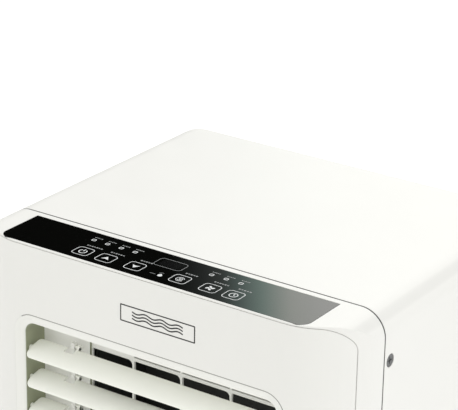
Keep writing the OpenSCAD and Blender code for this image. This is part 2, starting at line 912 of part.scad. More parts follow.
// Hermetic compressor with its accumulator; the heights count from the base pan's floor.
module compressor() {
    can = [
        [0, 20], [38, 20], [comp_r - 5, 26], [comp_r, 40], [comp_r, comp_h - 26],
        [comp_r - 5, comp_h - 12], [36, comp_h - 3], [30, comp_h], [0, comp_h]
    ];
    color("dimgray") translate([0, 0, floor_z]) {
        difference() {
            union() {
                translate([comp_x, comp_y, 0]) rotate_extrude() polygon(can);
                for (p = foot_places)
                    translate([p[0], p[1], foot_z]) cylinder(h = foot_t, r = 12);
                for (a = foot_angles)
                    translate([comp_x, comp_y, 0]) rotate([0, 0, a])
                        box([0, -9, foot_z + 1], [foot_reach, 9, foot_z + 4]);
                translate([comp_x, comp_y, foot_z + 1]) cylinder(h = 8, r = 33);
            }
            for (p = foot_places)
                translate([p[0], p[1], 0]) cylinder(h = 30, r = grommet_r);
        }
        translate([acc_x, acc_y, acc_z]) cylinder(h = acc_h, r = acc_r);
        translate([acc_x, acc_y, acc_z + acc_h - 1]) cylinder(h = 8, r1 = acc_r - 1, r2 = 8);
        // Outlet pipe and clamp of the accumulator
        translate([acc_x, acc_y, acc_z - 15]) cylinder(h = 17, r = tube_r + 0.5);
        link([acc_x, acc_y, acc_z - 10], [comp_x - comp_r + 6, acc_y + 8, acc_z - 10], tube_r - 0.5);
        box([acc_x, acc_y - 2, acc_z + 43], [comp_x - comp_r + 8, acc_y + 2, acc_z + 49]);
    }
}

module compressor_grommets() {
    color("black") for (p = foot_places)
        translate([p[0], p[1], floor_z]) difference() {
            union() {
                cylinder(h = foot_z, r = 2 * grommet_r);
                cylinder(h = foot_z + foot_t, r = grommet_r - 0.1);
            }
            translate([0, 0, -1]) cylinder(h = 30, r = bolt_r + 0.1);
        }
}

module compressor_bolts() {
    color("silver") for (p = foot_places)
        translate([p[0], p[1], floor_z + foot_z + foot_t]) difference() {
            cylinder(h = 5, r = 6.5, $fn = 6);
            translate([0, 0, -1]) cylinder(h = 2.1, r = bolt_r + 0.1);
        }
}

module discharge_line() {
    z = comp_top + 24;
    x = cond_w / 2 + 0.8;
    color("peru") pipe([
        [comp_x, comp_y, comp_top], [comp_x, comp_y, z], [pipe_x, comp_y, z], [pipe_x, pipe_y, z],
        [pipe_x, pipe_y, cond_top - 14], [x, pipe_y, cond_top - 14]
    ], tube_r);
}

module suction_line() {
    z = comp_top + 6;
    under = deck_z - 20;
    color("peru") pipe([
        [-evap_w / 2 - 0.8, pipe_y, evap_z + 14], [-pipe_x, pipe_y, evap_z + 14], [-pipe_x, pipe_y, under],
        [-pipe_x, acc_y, under], [-pipe_x, acc_y, z], [acc_x, acc_y, z],
        [acc_x, acc_y, floor_z + acc_z + acc_h + 7]
    ], tube_r + 1);
}

// Filter drier with the liquid pipe below it and the capillary above it.
module capillary_line() {
    dry_y = pipe_y - 40;
    x = pipe_x + 9;
    under = deck_z - 20;
    color("peru") {
        translate([pipe_x, dry_y, cond_z + 18]) cylinder(h = 60, r = 9);
        pipe([
            [cond_w / 2 + 0.8, pipe_y, cond_z + 8], [pipe_x, pipe_y, cond_z + 8],
            [pipe_x, dry_y, cond_z + 8], [pipe_x, dry_y, cond_z + 20]
        ], 2.5);
        pipe([
            [pipe_x, dry_y, cond_z + 77], [pipe_x, dry_y, cond_z + 90], [x, dry_y, cond_z + 90],
            [x, dry_y, under], [x, pipe_y, under], [pipe_x, pipe_y, under],
            [pipe_x, pipe_y, evap_top - 8], [evap_w / 2 + 0.8, pipe_y, evap_top - 8]
        ], 1.6);
    }
}

module control_box() {
    color("silver") difference() {
        box(box_low, box_high);
        box(box_low + [2, 2, 2], box_high - [2, 2, 2]);
    }
}

// ---------- back ----------

module exhaust_collar() {
    color("lightgray") difference() {
        union() {
            rod_y(port_x, port_z, collar_y, back_y, port_r + collar_t);
            rod_y(port_x, port_z, back_y - wall - flange_t, back_y - wall, port_r + collar_t + 4);
        }
        rod_y(port_x, port_z, collar_y - 1, back_y + 1, port_r);
    }
}

module upper_grille() {
    x0 = -grille_w / 2;
    low = grille_z - grille_h / 2;
    rows = floor((grille_h - 20) / slot_step);
    col_w = (grille_w - 2 * slot_edge - 2 * slot_bar) / 3;
    color("white") difference() {
        box([x0, back_y - wall, low], [-x0, back_y, low + grille_h]);
        // The slot in the middle of the top row is left out for a finger pull
        for (row = [0 : rows - 1], col = [0 : 2])
            if (row < rows - 1 || col != 1)
                translate([x0 + slot_edge + col * (col_w + slot_bar), back_y, low + 10 + row * slot_step])
                    box([0, -5, 0], [col_w, 1, slot_h]);
    }
}

module air_filter() {
    low = grille_z - grille_h / 2;
    y1 = back_y - wall;
    color("steelblue") {
        along_y(y1 - 5, y1) difference() {
            square_from(-grille_w / 2 + 7, low + 7, grille_w / 2 - 7, low + grille_h - 7);
            square_from(-grille_w / 2 + 13, low + 13, grille_w / 2 - 13, low + grille_h - 13);
        }
        box([-grille_w / 2 + 12, y1 - 3, low + 12], [grille_w / 2 - 12, y1 - 2.4, low + grille_h - 12]);
    }
}

module drain_plug(z) {
    color("dimgray") {
        rod_y(drain_x, z, spout_y - plug_l, spout_y + 1, drain_r - run);
        rod_y(drain_x, z, spout_y + run, back_y - 0.4, drain_r + 2.5);
    }
}

module cord_gland() {
    color("black") difference() {
        union() {
            rod_y(gland_x, gland_z, back_y - 9, back_y, 9);
            rod_y(gland_x, gland_z, back_y - wall - flange_t, back_y - wall, 12);
        }
        rod_y(gland_x, gland_z, back_y - 10, back_y + 1, 4);
    }
}

// ---------- casters ----------

module caster_yoke(p) {
    ear = caster_w / 2 + 0.5;
    top = pan_z - seat;
    color("dimgray") translate([p[0], p[1], 0]) {
        translate([0, 0, top - yoke_t]) cylinder(h = yoke_t, r = 14);
        translate([0, 0, top - 1]) cylinder(h = boss_h - 5, r = stem_r);
        difference() {
            for (s = [-1, 1])
                translate([s * (ear + 1), 0, 0]) union() {
                    box([-1, 0, caster_r], [1, caster_trail + 5, top - 2]);
                    rod_x(caster_trail, caster_r, -1, 1, 5);
                    box([-1, -6, top - 8], [1, caster_trail, top - 2]);
                }
            rod_x(caster_trail, caster_r, -30, 30, axle_r);
        }
        rod_x(caster_trail, caster_r, -ear - 2, ear + 2, axle_r);
    }
}

module caster_wheel(p) {
    color("black") translate([p[0], p[1] + caster_trail, caster_r]) difference() {
        union() {
            rotate([0, 90, 0]) cylinder(h = tread_w, r = caster_r, center = true);
            rotate([0, 90, 0]) cylinder(h = caster_w, r = caster_r - 3, center = true);
        }
        rotate([0, 90, 0]) cylinder(h = 40, r = axle_r + run, center = true);
    }
}

front_frame();
front_panel();
rear_housing();
back_cover();
base_pan();
mid_deck();
control_lens();
control_board();
display_module();
indicator_leds();
touch_pads();
badge();
outlet_frame();
outlet_grille();
louver(0);  // louver_1
louver(1);  // louver_2
louver(2);  // louver_3
louver(3);  // louver_4
louver(4);  // louver_5
louver_link();
swing_motor();
swing_crank();
upper_scroll();
upper_scroll_cover();
upper_wheel();
upper_motor();
evaporator_coil();
evaporator_tubes();
drip_tray();
lower_scroll();
lower_scroll_cover();
lower_wheel();
lower_motor();
condenser_coil();
condenser_tubes();
compressor();
compressor_grommets();
compressor_bolts();
discharge_line();
suction_line();
capillary_line();
control_box();
exhaust_collar();
upper_grille();
air_filter();
drain_plug(drain_z);  // drain_plug_lower
drain_plug(tray_drain_z);  // drain_plug_upper
cord_gland();
grip(-1);  // grip_left
grip(1);  // grip_right
side_screws();
caster_yoke(caster_places[0]);  // caster_yoke_fl
caster_yoke(caster_places[1]);  // caster_yoke_fr
caster_yoke(caster_places[2]);  // caster_yoke_bl
caster_yoke(caster_places[3]);  // caster_yoke_br
caster_wheel(caster_places[0]);  // caster_wheel_fl
caster_wheel(caster_places[1]);  // caster_wheel_fr
caster_wheel(caster_places[2]);  // caster_wheel_bl
caster_wheel(caster_places[3]);  // caster_wheel_br
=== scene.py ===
"""Looks of a portable air conditioner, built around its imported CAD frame.

The cabinet's mouldings, the control panel, the outlet with its blades, the fittings at the back and
the casters are modelled here; what works inside the cabinet keeps its CAD shape and gets its finish.
All lengths are in metres: +Z is up, the front faces -Y and the origin is on the floor.
"""

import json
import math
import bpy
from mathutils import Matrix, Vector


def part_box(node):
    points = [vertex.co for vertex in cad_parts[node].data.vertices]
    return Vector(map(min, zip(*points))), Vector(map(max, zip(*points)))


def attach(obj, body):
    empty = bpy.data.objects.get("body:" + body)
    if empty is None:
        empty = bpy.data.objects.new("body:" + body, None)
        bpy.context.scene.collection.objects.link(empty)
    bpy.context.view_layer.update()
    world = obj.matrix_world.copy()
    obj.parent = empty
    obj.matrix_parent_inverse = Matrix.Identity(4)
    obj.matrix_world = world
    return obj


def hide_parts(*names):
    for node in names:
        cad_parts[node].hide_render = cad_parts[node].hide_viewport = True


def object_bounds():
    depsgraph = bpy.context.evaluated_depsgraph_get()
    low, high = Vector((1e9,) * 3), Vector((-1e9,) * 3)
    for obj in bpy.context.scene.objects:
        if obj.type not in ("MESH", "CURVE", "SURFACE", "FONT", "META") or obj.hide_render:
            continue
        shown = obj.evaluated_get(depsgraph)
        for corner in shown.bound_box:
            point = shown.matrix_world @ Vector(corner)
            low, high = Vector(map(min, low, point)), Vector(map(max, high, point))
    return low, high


bl_info = {
    "name": "Portable air conditioner",
    "version": (1, 0, 0),
    "blender": (4, 5, 0),
    "location": "View3D > Sidebar > Cooler",
    "description": "Builds the visual model of a portable air conditioner around its CAD frame",
    "category": "Object",
}

import bmesh
import bpy
from bpy.props import FloatProperty, FloatVectorProperty, PointerProperty
from bpy.types import Operator, Panel, PropertyGroup
from mathutils import Matrix, Vector

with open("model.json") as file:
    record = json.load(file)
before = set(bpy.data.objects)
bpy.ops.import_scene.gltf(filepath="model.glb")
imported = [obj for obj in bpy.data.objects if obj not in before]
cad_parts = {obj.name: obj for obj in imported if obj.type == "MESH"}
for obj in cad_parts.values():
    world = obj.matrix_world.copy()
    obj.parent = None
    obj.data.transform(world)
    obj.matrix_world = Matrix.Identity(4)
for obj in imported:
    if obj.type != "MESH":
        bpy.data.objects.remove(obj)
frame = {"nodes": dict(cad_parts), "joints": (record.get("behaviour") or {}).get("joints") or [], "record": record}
CAD_LOW, CAD_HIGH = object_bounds()

MM = 0.001
HALF_W = CAD_HIGH.x
HALF_D = CAD_HIGH.y
TOP = CAD_HIGH.z
WALL = 2.8 * MM
ROOT = "cabinet"

# Shape of the mouldings
FRONT_CORNER = 52 * MM
BACK_CORNER = 28 * MM
SIDE_EDGE = 20.6 * MM
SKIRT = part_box("front_frame")[0].z
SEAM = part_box("rear_housing")[0].y
SEAM_GAP = 0.9 * MM
SEAM_MIDDLE = SEAM - SEAM_GAP / 2
SEAM_LIP = 0.75 * MM
INNER_CREASE = 0.4 * MM
ARC_STEPS = 7

# Tongue that enters the rear moulding, and the dark strip in the seam, which is painted shade of the gap
TONGUE_LOW = 94 * MM
TONGUE_OUT = 3.0 * MM
TONGUE_IN = 4.6 * MM
TONGUE_FRONT = SEAM - 6 * MM
TONGUE_BACK = SEAM + 13 * MM
SEAM_SHADE_T = 1.5 * MM
SEAM_SHADE_INSET = 0.15 * MM

# How far a cutting shape reaches past what it cuts
PAST = 5 * MM

# Outline of the front panel
PANEL_SIDE = 6.0 * MM
PANEL_TOP = 1.3 * MM
PANEL_R = 20 * MM
PANEL_T = 1.5 * MM
PANEL_SEAT = 1.7 * MM
PANEL_LAP = 7 * MM
PANEL_BACK = SEAM - 8 * MM

# How far the lens reaches past its seat, over the crease and towards the seam
LENS_FRONT = 1.2 * MM
LENS_BACK = 1.8 * MM
LENS_FIT = 0.15 * MM

# Back cover: its gap all round, and the ledge behind its edge
COVER_FIT = 0.5 * MM
LEDGE_OUT = 5 * MM
LEDGE_IN = 6 * MM
LEDGE_T = 2 * MM

# Side screws: their seats, and the least height between two of them
SCREW_SEAT_R = 5.3 * MM
SCREW_SEAT_DEEP = 1.6 * MM
SCREW_APART = 30 * MM

# Outlet
OPEN_W = 232 * MM
OPEN_R = 9 * MM
RIM_W = 8 * MM
RIM_FIT = 0.4 * MM
RIM_STEPS = 10
SHADOW_LINE = 0.75 * MM
OPEN_TOP = TOP - 67 * MM
OPEN_LOW = 477.4 * MM
OPEN_MID = (OPEN_TOP + OPEN_LOW) / 2
OPEN_H = OPEN_TOP - OPEN_LOW

# Guard in front of the duct
GUARD_T = 2.2 * MM
RIB_T = 1.8 * MM
RIBS = [-31 * MM, 14 * MM, 59 * MM, 104 * MM]
CELL_TOP = OPEN_TOP - 19.5 * MM
CELL_MARGIN = 9 * MM

# Blades
BLADES = [j for j in frame["joints"] if j["name"].startswith("louver_") and j["name"].endswith("_swing")]
BLADE_CHORD = 19 * MM
BLADE_T = 2.2 * MM
BLADE_BOW = 1.2 * MM
BLADE_TILT = math.radians(33)
BLADE_END = 115 * MM
BLADE_CORNER = 4.0 * MM
BLADE_STEP = 2.2 * MM
PIN_R = 2 * MM
LINK_X = -81 * MM
LINK_REACH = 12 * MM
LINK_PIN_R = 1.2 * MM
NOTCH_HALF = 4.5 * MM
ARM_END = 6.5 * MM
EYE_R = 2.2 * MM

# Heat exchangers
FIN_PITCH = 2.4 * MM
FIN_HALF = 0.12 * MM
END_PLATE = 1.6 * MM
TUBE_R = 3.2 * MM
TUBE_RISE = 25 * MM
TUBE_FIRST = 18 * MM

# Camera
CAMERA_AT = Vector((0.8316, -1.2705, 1.3202))
CAMERA_AIM = Vector((-0.032, 0.0103, 0.695))
CAMERA_ROLL = math.radians(1.09)


# ---------- properties ----------


class CoolerCabinet(PropertyGroup):
    """Finish of the moulded shells."""

    shell_color: FloatVectorProperty(
        name="Shell colour", description="Colour of the moulded shells", subtype="COLOR",
        size=3, min=0.0, max=1.0, default=(0.825, 0.822, 0.792),
    )
    crease_r: FloatProperty(
        name="Front crease", description="Radius of the crease round the front face",
        unit="LENGTH", min=0.0005, max=0.003, default=0.0012,
    )
    back_crease_r: FloatProperty(
        name="Back crease", description="Radius of the crease round the back face",
        unit="LENGTH", min=0.0005, max=0.008, default=0.004,
    )
    groove: FloatProperty(
        name="Panel groove", description="Width of the groove round the front panel",
        unit="LENGTH", min=0.0003, max=0.0015, default=0.0005,
    )


class CoolerPanel(PropertyGroup):
    """Finish of the control panel and its prints."""

    lens_color: FloatVectorProperty(
        name="Lens colour", description="Colour behind the glossy lens", subtype="COLOR",
        size=3, min=0.0, max=1.0, default=(0.0015, 0.0016, 0.0012),
    )
    print_color: FloatVectorProperty(
        name="Print colour", description="Colour of the printed keys", subtype="COLOR",
        size=3, min=0.0, max=1.0, default=(0.72, 0.74, 0.74),
    )
    key_size: FloatProperty(
        name="Key size", description="Side of a printed key's outline",
        unit="LENGTH", min=0.008, max=0.02, default=0.0148,
    )


class CoolerOutlet(PropertyGroup):
    """Finish of the air outlet."""

    blade_color: FloatVectorProperty(
        name="Blade colour", description="Colour of the blades", subtype="COLOR",
        size=3, min=0.0, max=1.0, default=(0.94, 0.95, 0.88),
    )
    bevel_depth: FloatProperty(
        name="Rim depth", description="Depth of the slope between the rim and the opening",
        unit="LENGTH", min=0.0005, max=0.004, default=0.003,
    )


class CoolerStage(PropertyGroup):
    """Light and camera."""

    sky: FloatProperty(
        name="Room light", description="Strength of the even light all round",
        min=0.0, max=3.0, default=0.92,
    )
    lens_mm: FloatProperty(
        name="Focal length", description="Focal length of the camera in millimetres",
        min=20.0, max=300.0, default=164.9,
    )


# ---------- materials ----------

# Scale of a texture that is the same along every axis, and the span that noise mostly stays in
EVEN = (1.0, 1.0, 1.0)
NOISE_LOW, NOISE_HIGH = 0.3, 0.7
# Finishes by their short names, some of which aren't material slots of the record
FINISH = {}


def shader(name, color, roughness, metallic=0.0):
    """A new material with its nodes, links and principled shader."""
    material = bpy.data.materials.new(name)
    material.use_nodes = True
    material.diffuse_color = (*color, 1.0)
    nodes, links = material.node_tree.nodes, material.node_tree.links
    surface = nodes["Principled BSDF"]
    surface.inputs["Base Color"].default_value = (*color, 1.0)
    surface.inputs["Roughness"].default_value = roughness
    surface.inputs["Metallic"].default_value = metallic
    return material, nodes, links, surface


def add(nodes, kind, **values):
    """A new shader node with some of its inputs set; the spaces in their names are underscores here."""
    node = nodes.new("ShaderNode" + kind)
    for key, value in values.items():
        node.inputs[key.replace("_", " ")].default_value = value
    return node


def noise(nodes, links, scale, detail, stretch=EVEN):
    """Noise in the object's own metres."""
    spot = add(nodes, "TexCoord")
    mapping = add(nodes, "Mapping", Scale=stretch)
    texture = add(nodes, "TexNoise", Scale=scale, Detail=detail)
    links.new(spot.outputs["Object"], mapping.inputs["Vector"])
    links.new(mapping.outputs["Vector"], texture.inputs["Vector"])
    return texture.outputs["Fac"]


def ramp_through(nodes, stops):
    """A colour ramp through stops of position and colour."""
    ramp = add(nodes, "ValToRGB")
    points = ramp.color_ramp.elements
    while len(points) < len(stops):
        points.new(0.5)
    for point, (position, color) in zip(points, stops):
        point.position = position
        point.color = (*color, 1.0)
    return ramp


def mottle(nodes, links, surface, color, scale, amount):
    """Slow changes of the base colour, a share of amount up and down."""
    dark = [c * (1 - amount) for c in color]
    light = [min(1.0, c * (1 + amount)) for c in color]
    ramp = ramp_through(nodes, [(NOISE_LOW, dark), (NOISE_HIGH, light)])
    links.new(noise(nodes, links, scale, 2.0), ramp.inputs["Fac"])
    links.new(ramp.outputs["Color"], surface.inputs["Base Color"])


def polish(nodes, links, surface, scale, low, high, stretch=EVEN):
    """Roughness that wanders between two values."""
    spread = add(nodes, "MapRange", From_Min=NOISE_LOW, From_Max=NOISE_HIGH, To_Min=low, To_Max=high)
    links.new(noise(nodes, links, scale, 4.0, stretch), spread.inputs["Value"])
    links.new(spread.outputs["Result"], surface.inputs["Roughness"])


def grain(nodes, links, surface, scale, depth, detail=2.0, stretch=EVEN):
    """Fine relief of a moulded, cast or brushed face; depth is in metres."""
    bump = add(nodes, "Bump", Strength=0.6, Distance=depth)
    links.new(noise(nodes, links, scale, detail, stretch), bump.inputs["Height"])
    links.new(bump.outputs["Normal"], surface.inputs["Normal"])


def product(nodes, links, a, b):
    """The product of two sockets."""
    both = add(nodes, "Math")
    both.operation = "MULTIPLY"
    links.new(a, both.inputs[0])
    links.new(b, both.inputs[1])
    return both.outputs[0]


def tinted(material, factor, blend, color):
    """Blends a colour over the material's base colour, as far as the factor socket says."""
    nodes, links = material.node_tree.nodes, material.node_tree.links
    base = nodes["Principled BSDF"].inputs["Base Color"]
    mix = add(nodes, "Mix")
    mix.data_type = "RGBA"
    mix.blend_type = blend
    mix.inputs["B"].default_value = (*color, 1.0)
    links.new(factor, mix.inputs["Factor"])
    links.new(base.links[0].from_socket, mix.inputs["A"])
    links.new(mix.outputs["Result"], base)
    return material


def moulded(name, color, roughness, texture=1400.0, depth=0.00002, variation=0.012):
    """Injection-moulded plastic: faint grain, slow tone changes and uneven polish."""
    material, nodes, links, surface = shader(name, color, roughness)
    surface.inputs["IOR"].default_value = 1.49
    mottle(nodes, links, surface, color, 9.0, variation)
    polish(nodes, links, surface, 40.0, roughness * 0.9, roughness * 1.12)
    grain(nodes, links, surface, texture, depth)
    return material


def satin_shell_painted_edge_shade(name, color):
    """The shells' satin white, a touch greyer along the rounded edges between top and sides: painted shade, set by
    the face's direction.
    """
    material = moulded(name, color, 0.42, 1800.0, 0.000015, 0.006)
    nodes, links = material.node_tree.nodes, material.node_tree.links
    nodes["Principled BSDF"].inputs["Specular IOR Level"].default_value = 0.15
    normal, split, side = add(nodes, "NewGeometry"), add(nodes, "SeparateXYZ"), add(nodes, "Math")
    side.operation = "ABSOLUTE"
    # Painted shade: the base colour is made up to 7 % darker where the face turns between up and sideways
    edge = add(nodes, "MapRange", From_Min=0.42, From_Max=0.5, To_Max=0.07)
    edge.interpolation_type = "SMOOTHSTEP"
    links.new(normal.outputs["Normal"], split.inputs["Vector"])
    links.new(split.outputs["X"], side.inputs[0])
    links.new(product(nodes, links, side.outputs[0], split.outputs["Z"]), edge.inputs["Value"])
    return tinted(material, edge.outputs["Result"], "MULTIPLY", (0.0, 0.0, 0.0))


def trim_painted_recess_shade(name, color):
    """Trim whose left wall deepens to olive behind the rim: painted shade of the recess, set by the face's
    direction and depth.
    """
    material = moulded(name, color, 0.45)
    nodes, links = material.node_tree.nodes, material.node_tree.links
    normal, split = add(nodes, "NewGeometry"), add(nodes, "SeparateXYZ")
    spot, depth = add(nodes, "TexCoord"), add(nodes, "SeparateXYZ")
    facing = add(nodes, "MapRange", From_Min=0.3, From_Max=0.9)
    inside = add(nodes, "MapRange", From_Min=-HALF_D + 1.5 * MM, From_Max=-HALF_D + 4 * MM)
    links.new(normal.outputs["Normal"], split.inputs["Vector"])
    links.new(spot.outputs["Object"], depth.inputs["Vector"])
    links.new(split.outputs["X"], facing.inputs["Value"])
    links.new(depth.outputs["Y"], inside.inputs["Value"])
    # Painted shade: faces turned right and set 1.5 to 4 mm behind the front blend towards olive
    factor = product(nodes, links, facing.outputs["Result"], inside.outputs["Result"])
    return tinted(material, factor, "MIX", (0.27, 0.29, 0.19))


def metal(name, color, roughness, stretch=EVEN, scale=60.0, depth=0.00003):
    """Bare or plated metal with a drawn or rolled texture."""
    material, nodes, links, surface = shader(name, color, roughness, 1.0)
    mottle(nodes, links, surface, color, 25.0, 0.06)
    polish(nodes, links, surface, scale, roughness * 0.75, roughness * 1.3, stretch)
    grain(nodes, links, surface, scale * 8, depth, 4.0, stretch)
    return material


def enamel(name, color, roughness):
    """Sprayed enamel with a little orange peel."""
    material, nodes, links, surface = shader(name, color, roughness)
    surface.inputs["Coat Weight"].default_value = 0.35
    surface.inputs["Coat Roughness"].default_value = 0.2
    mottle(nodes, links, surface, color, 30.0, 0.1)
    grain(nodes, links, surface, 320.0, 0.00008)
    return material


def rubber(name, color):
    """Dull rubber with a dusty bloom."""
    material, nodes, links, surface = shader(name, color, 0.75)
    surface.inputs["Sheen Weight"].default_value = 0.15
    mottle(nodes, links, surface, color, 80.0, 0.18)
    grain(nodes, links, surface, 900.0, 0.00006)
    return material


def gloss_lens(name, color):
    """Polished clear lens, printed black from behind."""
    material, nodes, links, surface = shader(name, color, 0.05)
    surface.inputs["IOR"].default_value = 1.62
    surface.inputs["Coat Weight"].default_value = 0.3
    surface.inputs["Coat Roughness"].default_value = 0.03
    polish(nodes, links, surface, 12.0, 0.045, 0.075)
    grain(nodes, links, surface, 6.0, 0.00001)
    return material


def finishes(context):
    """Every finish by its short name, which is a material slot of the record or stands for one."""
    scene = context.scene
    cabinet, panel, outlet = scene.cooler_cabinet, scene.cooler_panel, scene.cooler_outlet
    along_z = (1.0, 1.0, 0.04)
    return {
        "shell": satin_shell_painted_edge_shade("Satin shell", tuple(cabinet.shell_color)),
        "trim": trim_painted_recess_shade("Outlet trim", (0.83, 0.83, 0.79)),
        "guard": moulded("Guard and grip trim", (0.83, 0.83, 0.79), 0.45),
        "blade": moulded("Blade", tuple(outlet.blade_color), 0.4),
        "lens": gloss_lens("Black lens", tuple(panel.lens_color)),
        "print": moulded("Panel print", tuple(panel.print_color), 0.5, 2400.0, 0.00001),
        "faint": moulded("Faint print", (0.30, 0.31, 0.31), 0.5, 2400.0, 0.00001),
        "badge": moulded("Badge ink", (0.014, 0.014, 0.014), 0.5, 2400.0, 0.00001),
        "board": moulded("Solder mask", (0.02, 0.12, 0.05), 0.35, 900.0, 0.00004),
        "display": moulded("Display window", (0.004, 0.004, 0.004), 0.12, 2000.0, 0.000005),
        "led": moulded("Clear lamp", (0.55, 0.30, 0.10), 0.2, 2000.0, 0.000005),
        "foam": rubber("Contact foam", (0.35, 0.35, 0.35)),
        # Grey of the strip that is painted shadow round the outlet rim
        "seal": moulded("Outlet painted shadow line", (0.30, 0.30, 0.28), 0.6, 900.0, 0.00002),
        "duct": moulded("Duct plastic", (0.016, 0.017, 0.014), 0.7, 500.0, 0.0001, 0.1),
        "collar": moulded("Port plastic", (0.58, 0.58, 0.56), 0.45, 700.0, 0.00004, 0.02),
        "fan": moulded("Fan plastic", (0.03, 0.03, 0.032), 0.5, 500.0, 0.00006, 0.05),
        "pan": moulded("Pan plastic", (0.12, 0.125, 0.13), 0.55, 400.0, 0.0001, 0.04),
        "steel": metal("Galvanised steel", (0.60, 0.61, 0.62), 0.38, EVEN, 35.0, 0.00005),
        "fins": metal("Fin stock", (0.78, 0.79, 0.80), 0.30, along_z, 90.0),
        "copper": metal("Bare copper", (0.72, 0.36, 0.21), 0.30, EVEN, 70.0),
        "compressor": enamel("Black enamel", (0.012, 0.012, 0.013), 0.35),
        "rubber": rubber("Moulded rubber", (0.022, 0.022, 0.023)),
        "filter": moulded("Filter mesh", (0.05, 0.06, 0.075), 0.6, 600.0, 0.00008, 0.05),
        "crank": moulded("Acetal", (0.60, 0.60, 0.58), 0.35),
        "screw": enamel("Screw black", (0.075, 0.078, 0.078), 0.4),
        "caster": moulded("Caster plastic", (0.025, 0.026, 0.028), 0.4, 500.0, 0.00006, 0.05),
        "tyre": rubber("Caster tread", (0.035, 0.035, 0.037)),
    }


# ---------- mesh helpers ----------


def mesh_of(name, points, faces):
    """A closed mesh with its faces turned outwards."""
    mesh = bpy.data.meshes.new(name)
    mesh.from_pydata([tuple(p) for p in points], [], faces)
    shape = bmesh.new()
    shape.from_mesh(mesh)
    bmesh.ops.recalc_face_normals(shape, faces=shape.faces)
    shape.to_mesh(mesh)
    shape.free()
    return mesh


def skin(loops, closed=False):
    """Points and side faces over loops of as many points each; closed joins the last to the first."""
    count, rows = len(loops[0]), len(loops)
    faces = []
    for k in range(rows if closed else rows - 1):
        n = (k + 1) % rows
        for i in range(count):
            j = (i + 1) % count
            faces.append((k * count + i, k * count + j, n * count + j, n * count + i))
    return [p for loop in loops for p in loop], faces


def loft(name, loops):
    """Closed skin over loops that all have the same number of points."""
    count = len(loops[0])
    points, faces = skin(loops)
    faces.append(tuple(range(count)))
    faces.append(tuple(range(len(points) - count, len(points))))
    return mesh_of(name, points, faces)


def prism_y(outline, y0, y1):
    """An outline in X and Z pushed through a span of Y."""
    return loft("prism", [[(x, y, z) for x, z in outline] for y in (y0, y1)])


def prism_z(outline, z0, z1):
    """An outline in X and Y pushed through a span of Z."""
    return loft("prism", [[(x, y, z) for x, y in outline] for z in (z0, z1)])


def prism_x(outline, x0, x1):
    """An outline in Y and Z pushed through a span of X."""
    return loft("prism", [[(x, y, z) for y, z in outline] for x in (x0, x1)])


def rectangle(x0, z0, x1, z1):
    """Outline from its lower left and upper right corners."""
    return [(x0, z0), (x1, z0), (x1, z1), (x0, z1)]


def rounded(centre, w, h, radii, steps=8):
    """Rectangle whose corners have the given radii, from lower left, anticlockwise."""
    outline = []
    signs = [(-1, -1), (1, -1), (1, 1), (-1, 1)]
    for (sx, sz), r, turn in zip(signs, radii, (180, 270, 0, 90)):
        cx, cz = centre[0] + sx * (w / 2 - r), centre[1] + sz * (h / 2 - r)
        count = steps if r > 0 else 0
        for i in range(count + 1):
            a = math.radians(turn + 90 * i / max(1, count))
            outline.append((cx + r * math.cos(a), cz + r * math.sin(a)))
    return outline


def circle(centre, r, steps):
    """Outline of a circle with a number of steps."""
    angles = [2 * math.pi * i / steps for i in range(steps)]
    return [(centre[0] + r * math.cos(a), centre[1] + r * math.sin(a)) for a in angles]


def carve(mesh, *tools, operation="DIFFERENCE"):
    """The mesh cut by each tool mesh in turn; all of them are used up."""
    scene = bpy.context.scene
    for tool in tools:
        block, cutter = bpy.data.objects.new("block", mesh), bpy.data.objects.new("cutter", tool)
        for item in (block, cutter):
            scene.collection.objects.link(item)
        cut = block.modifiers.new("Cut", "BOOLEAN")
        cut.operation = operation
        cut.solver = "EXACT"
        cut.object = cutter
        bpy.context.view_layer.update()
        shown = block.evaluated_get(bpy.context.evaluated_depsgraph_get())
        mesh = bpy.data.meshes.new_from_object(shown)
        for item in (block, cutter):
            bpy.data.objects.remove(item)
        if not mesh.polygons:
            raise RuntimeError("a cut left nothing of a piece")
    return mesh


def joined(name, meshes):
    """Several meshes as one."""
    shape = bmesh.new()
    for mesh in meshes:
        shape.from_mesh(mesh)
    result = bpy.data.meshes.new(name)
    shape.to_mesh(result)
    shape.free()
    return result


def moved(mesh, x, y, z):
    """The mesh, shifted."""
    mesh.transform(Matrix.Translation((x, y, z)))
    return mesh


def lathe(profile, axis, centre, steps=48):
    """A solid of revolution: profile is (distance along the axis, radius), both ends closed."""
    loops = []
    for along, r in profile:
        ring = []
        for i in range(steps):
            a = 2 * math.pi * i / steps
            u, v = r * math.cos(a), r * math.sin(a)
            ring.append({"X": (along, u, v), "Y": (u, along, v), "Z": (u, v, along)}[axis])
        loops.append([Vector(p) + Vector(centre) for p in ring])
    return loft("lathe", loops)


def cad_copy(node, whole=True):
    """The CAD node's own shape, with its flat faces whole again unless they have many holes."""
    shape = bmesh.new()
    shape.from_mesh(frame["nodes"][node].data)
    bmesh.ops.remove_doubles(shape, verts=shape.verts, dist=0.000002)
    if whole:
        bmesh.ops.dissolve_limit(
            shape, angle_limit=math.radians(0.6), verts=shape.verts, edges=shape.edges
        )
    mesh = bpy.data.meshes.new(node)
    shape.to_mesh(mesh)
    shape.free()
    return mesh


def shade(mesh, sharpest):
    """Smooth shading but for edges sharper than an angle in degrees."""
    for polygon in mesh.polygons:
        polygon.use_smooth = True
    mesh.set_sharp_from_angle(angle=math.radians(sharpest))


def soften(piece, width, segments):
    """Rounds the sharp edges and keeps the flat faces flat in the shading."""
    shade(piece.data, 48)
    if width > 0:
        bevel = piece.modifiers.new("Soft edges", "BEVEL")
        bevel.width = width
        bevel.segments = segments
        bevel.limit_method = "ANGLE"
        bevel.angle_limit = math.radians(34)
        bevel.use_clamp_overlap = True
        bevel.miter_outer = "MITER_ARC"
    weighted = piece.modifiers.new("Flat faces", "WEIGHTED_NORMAL")
    weighted.keep_sharp = width <= 0


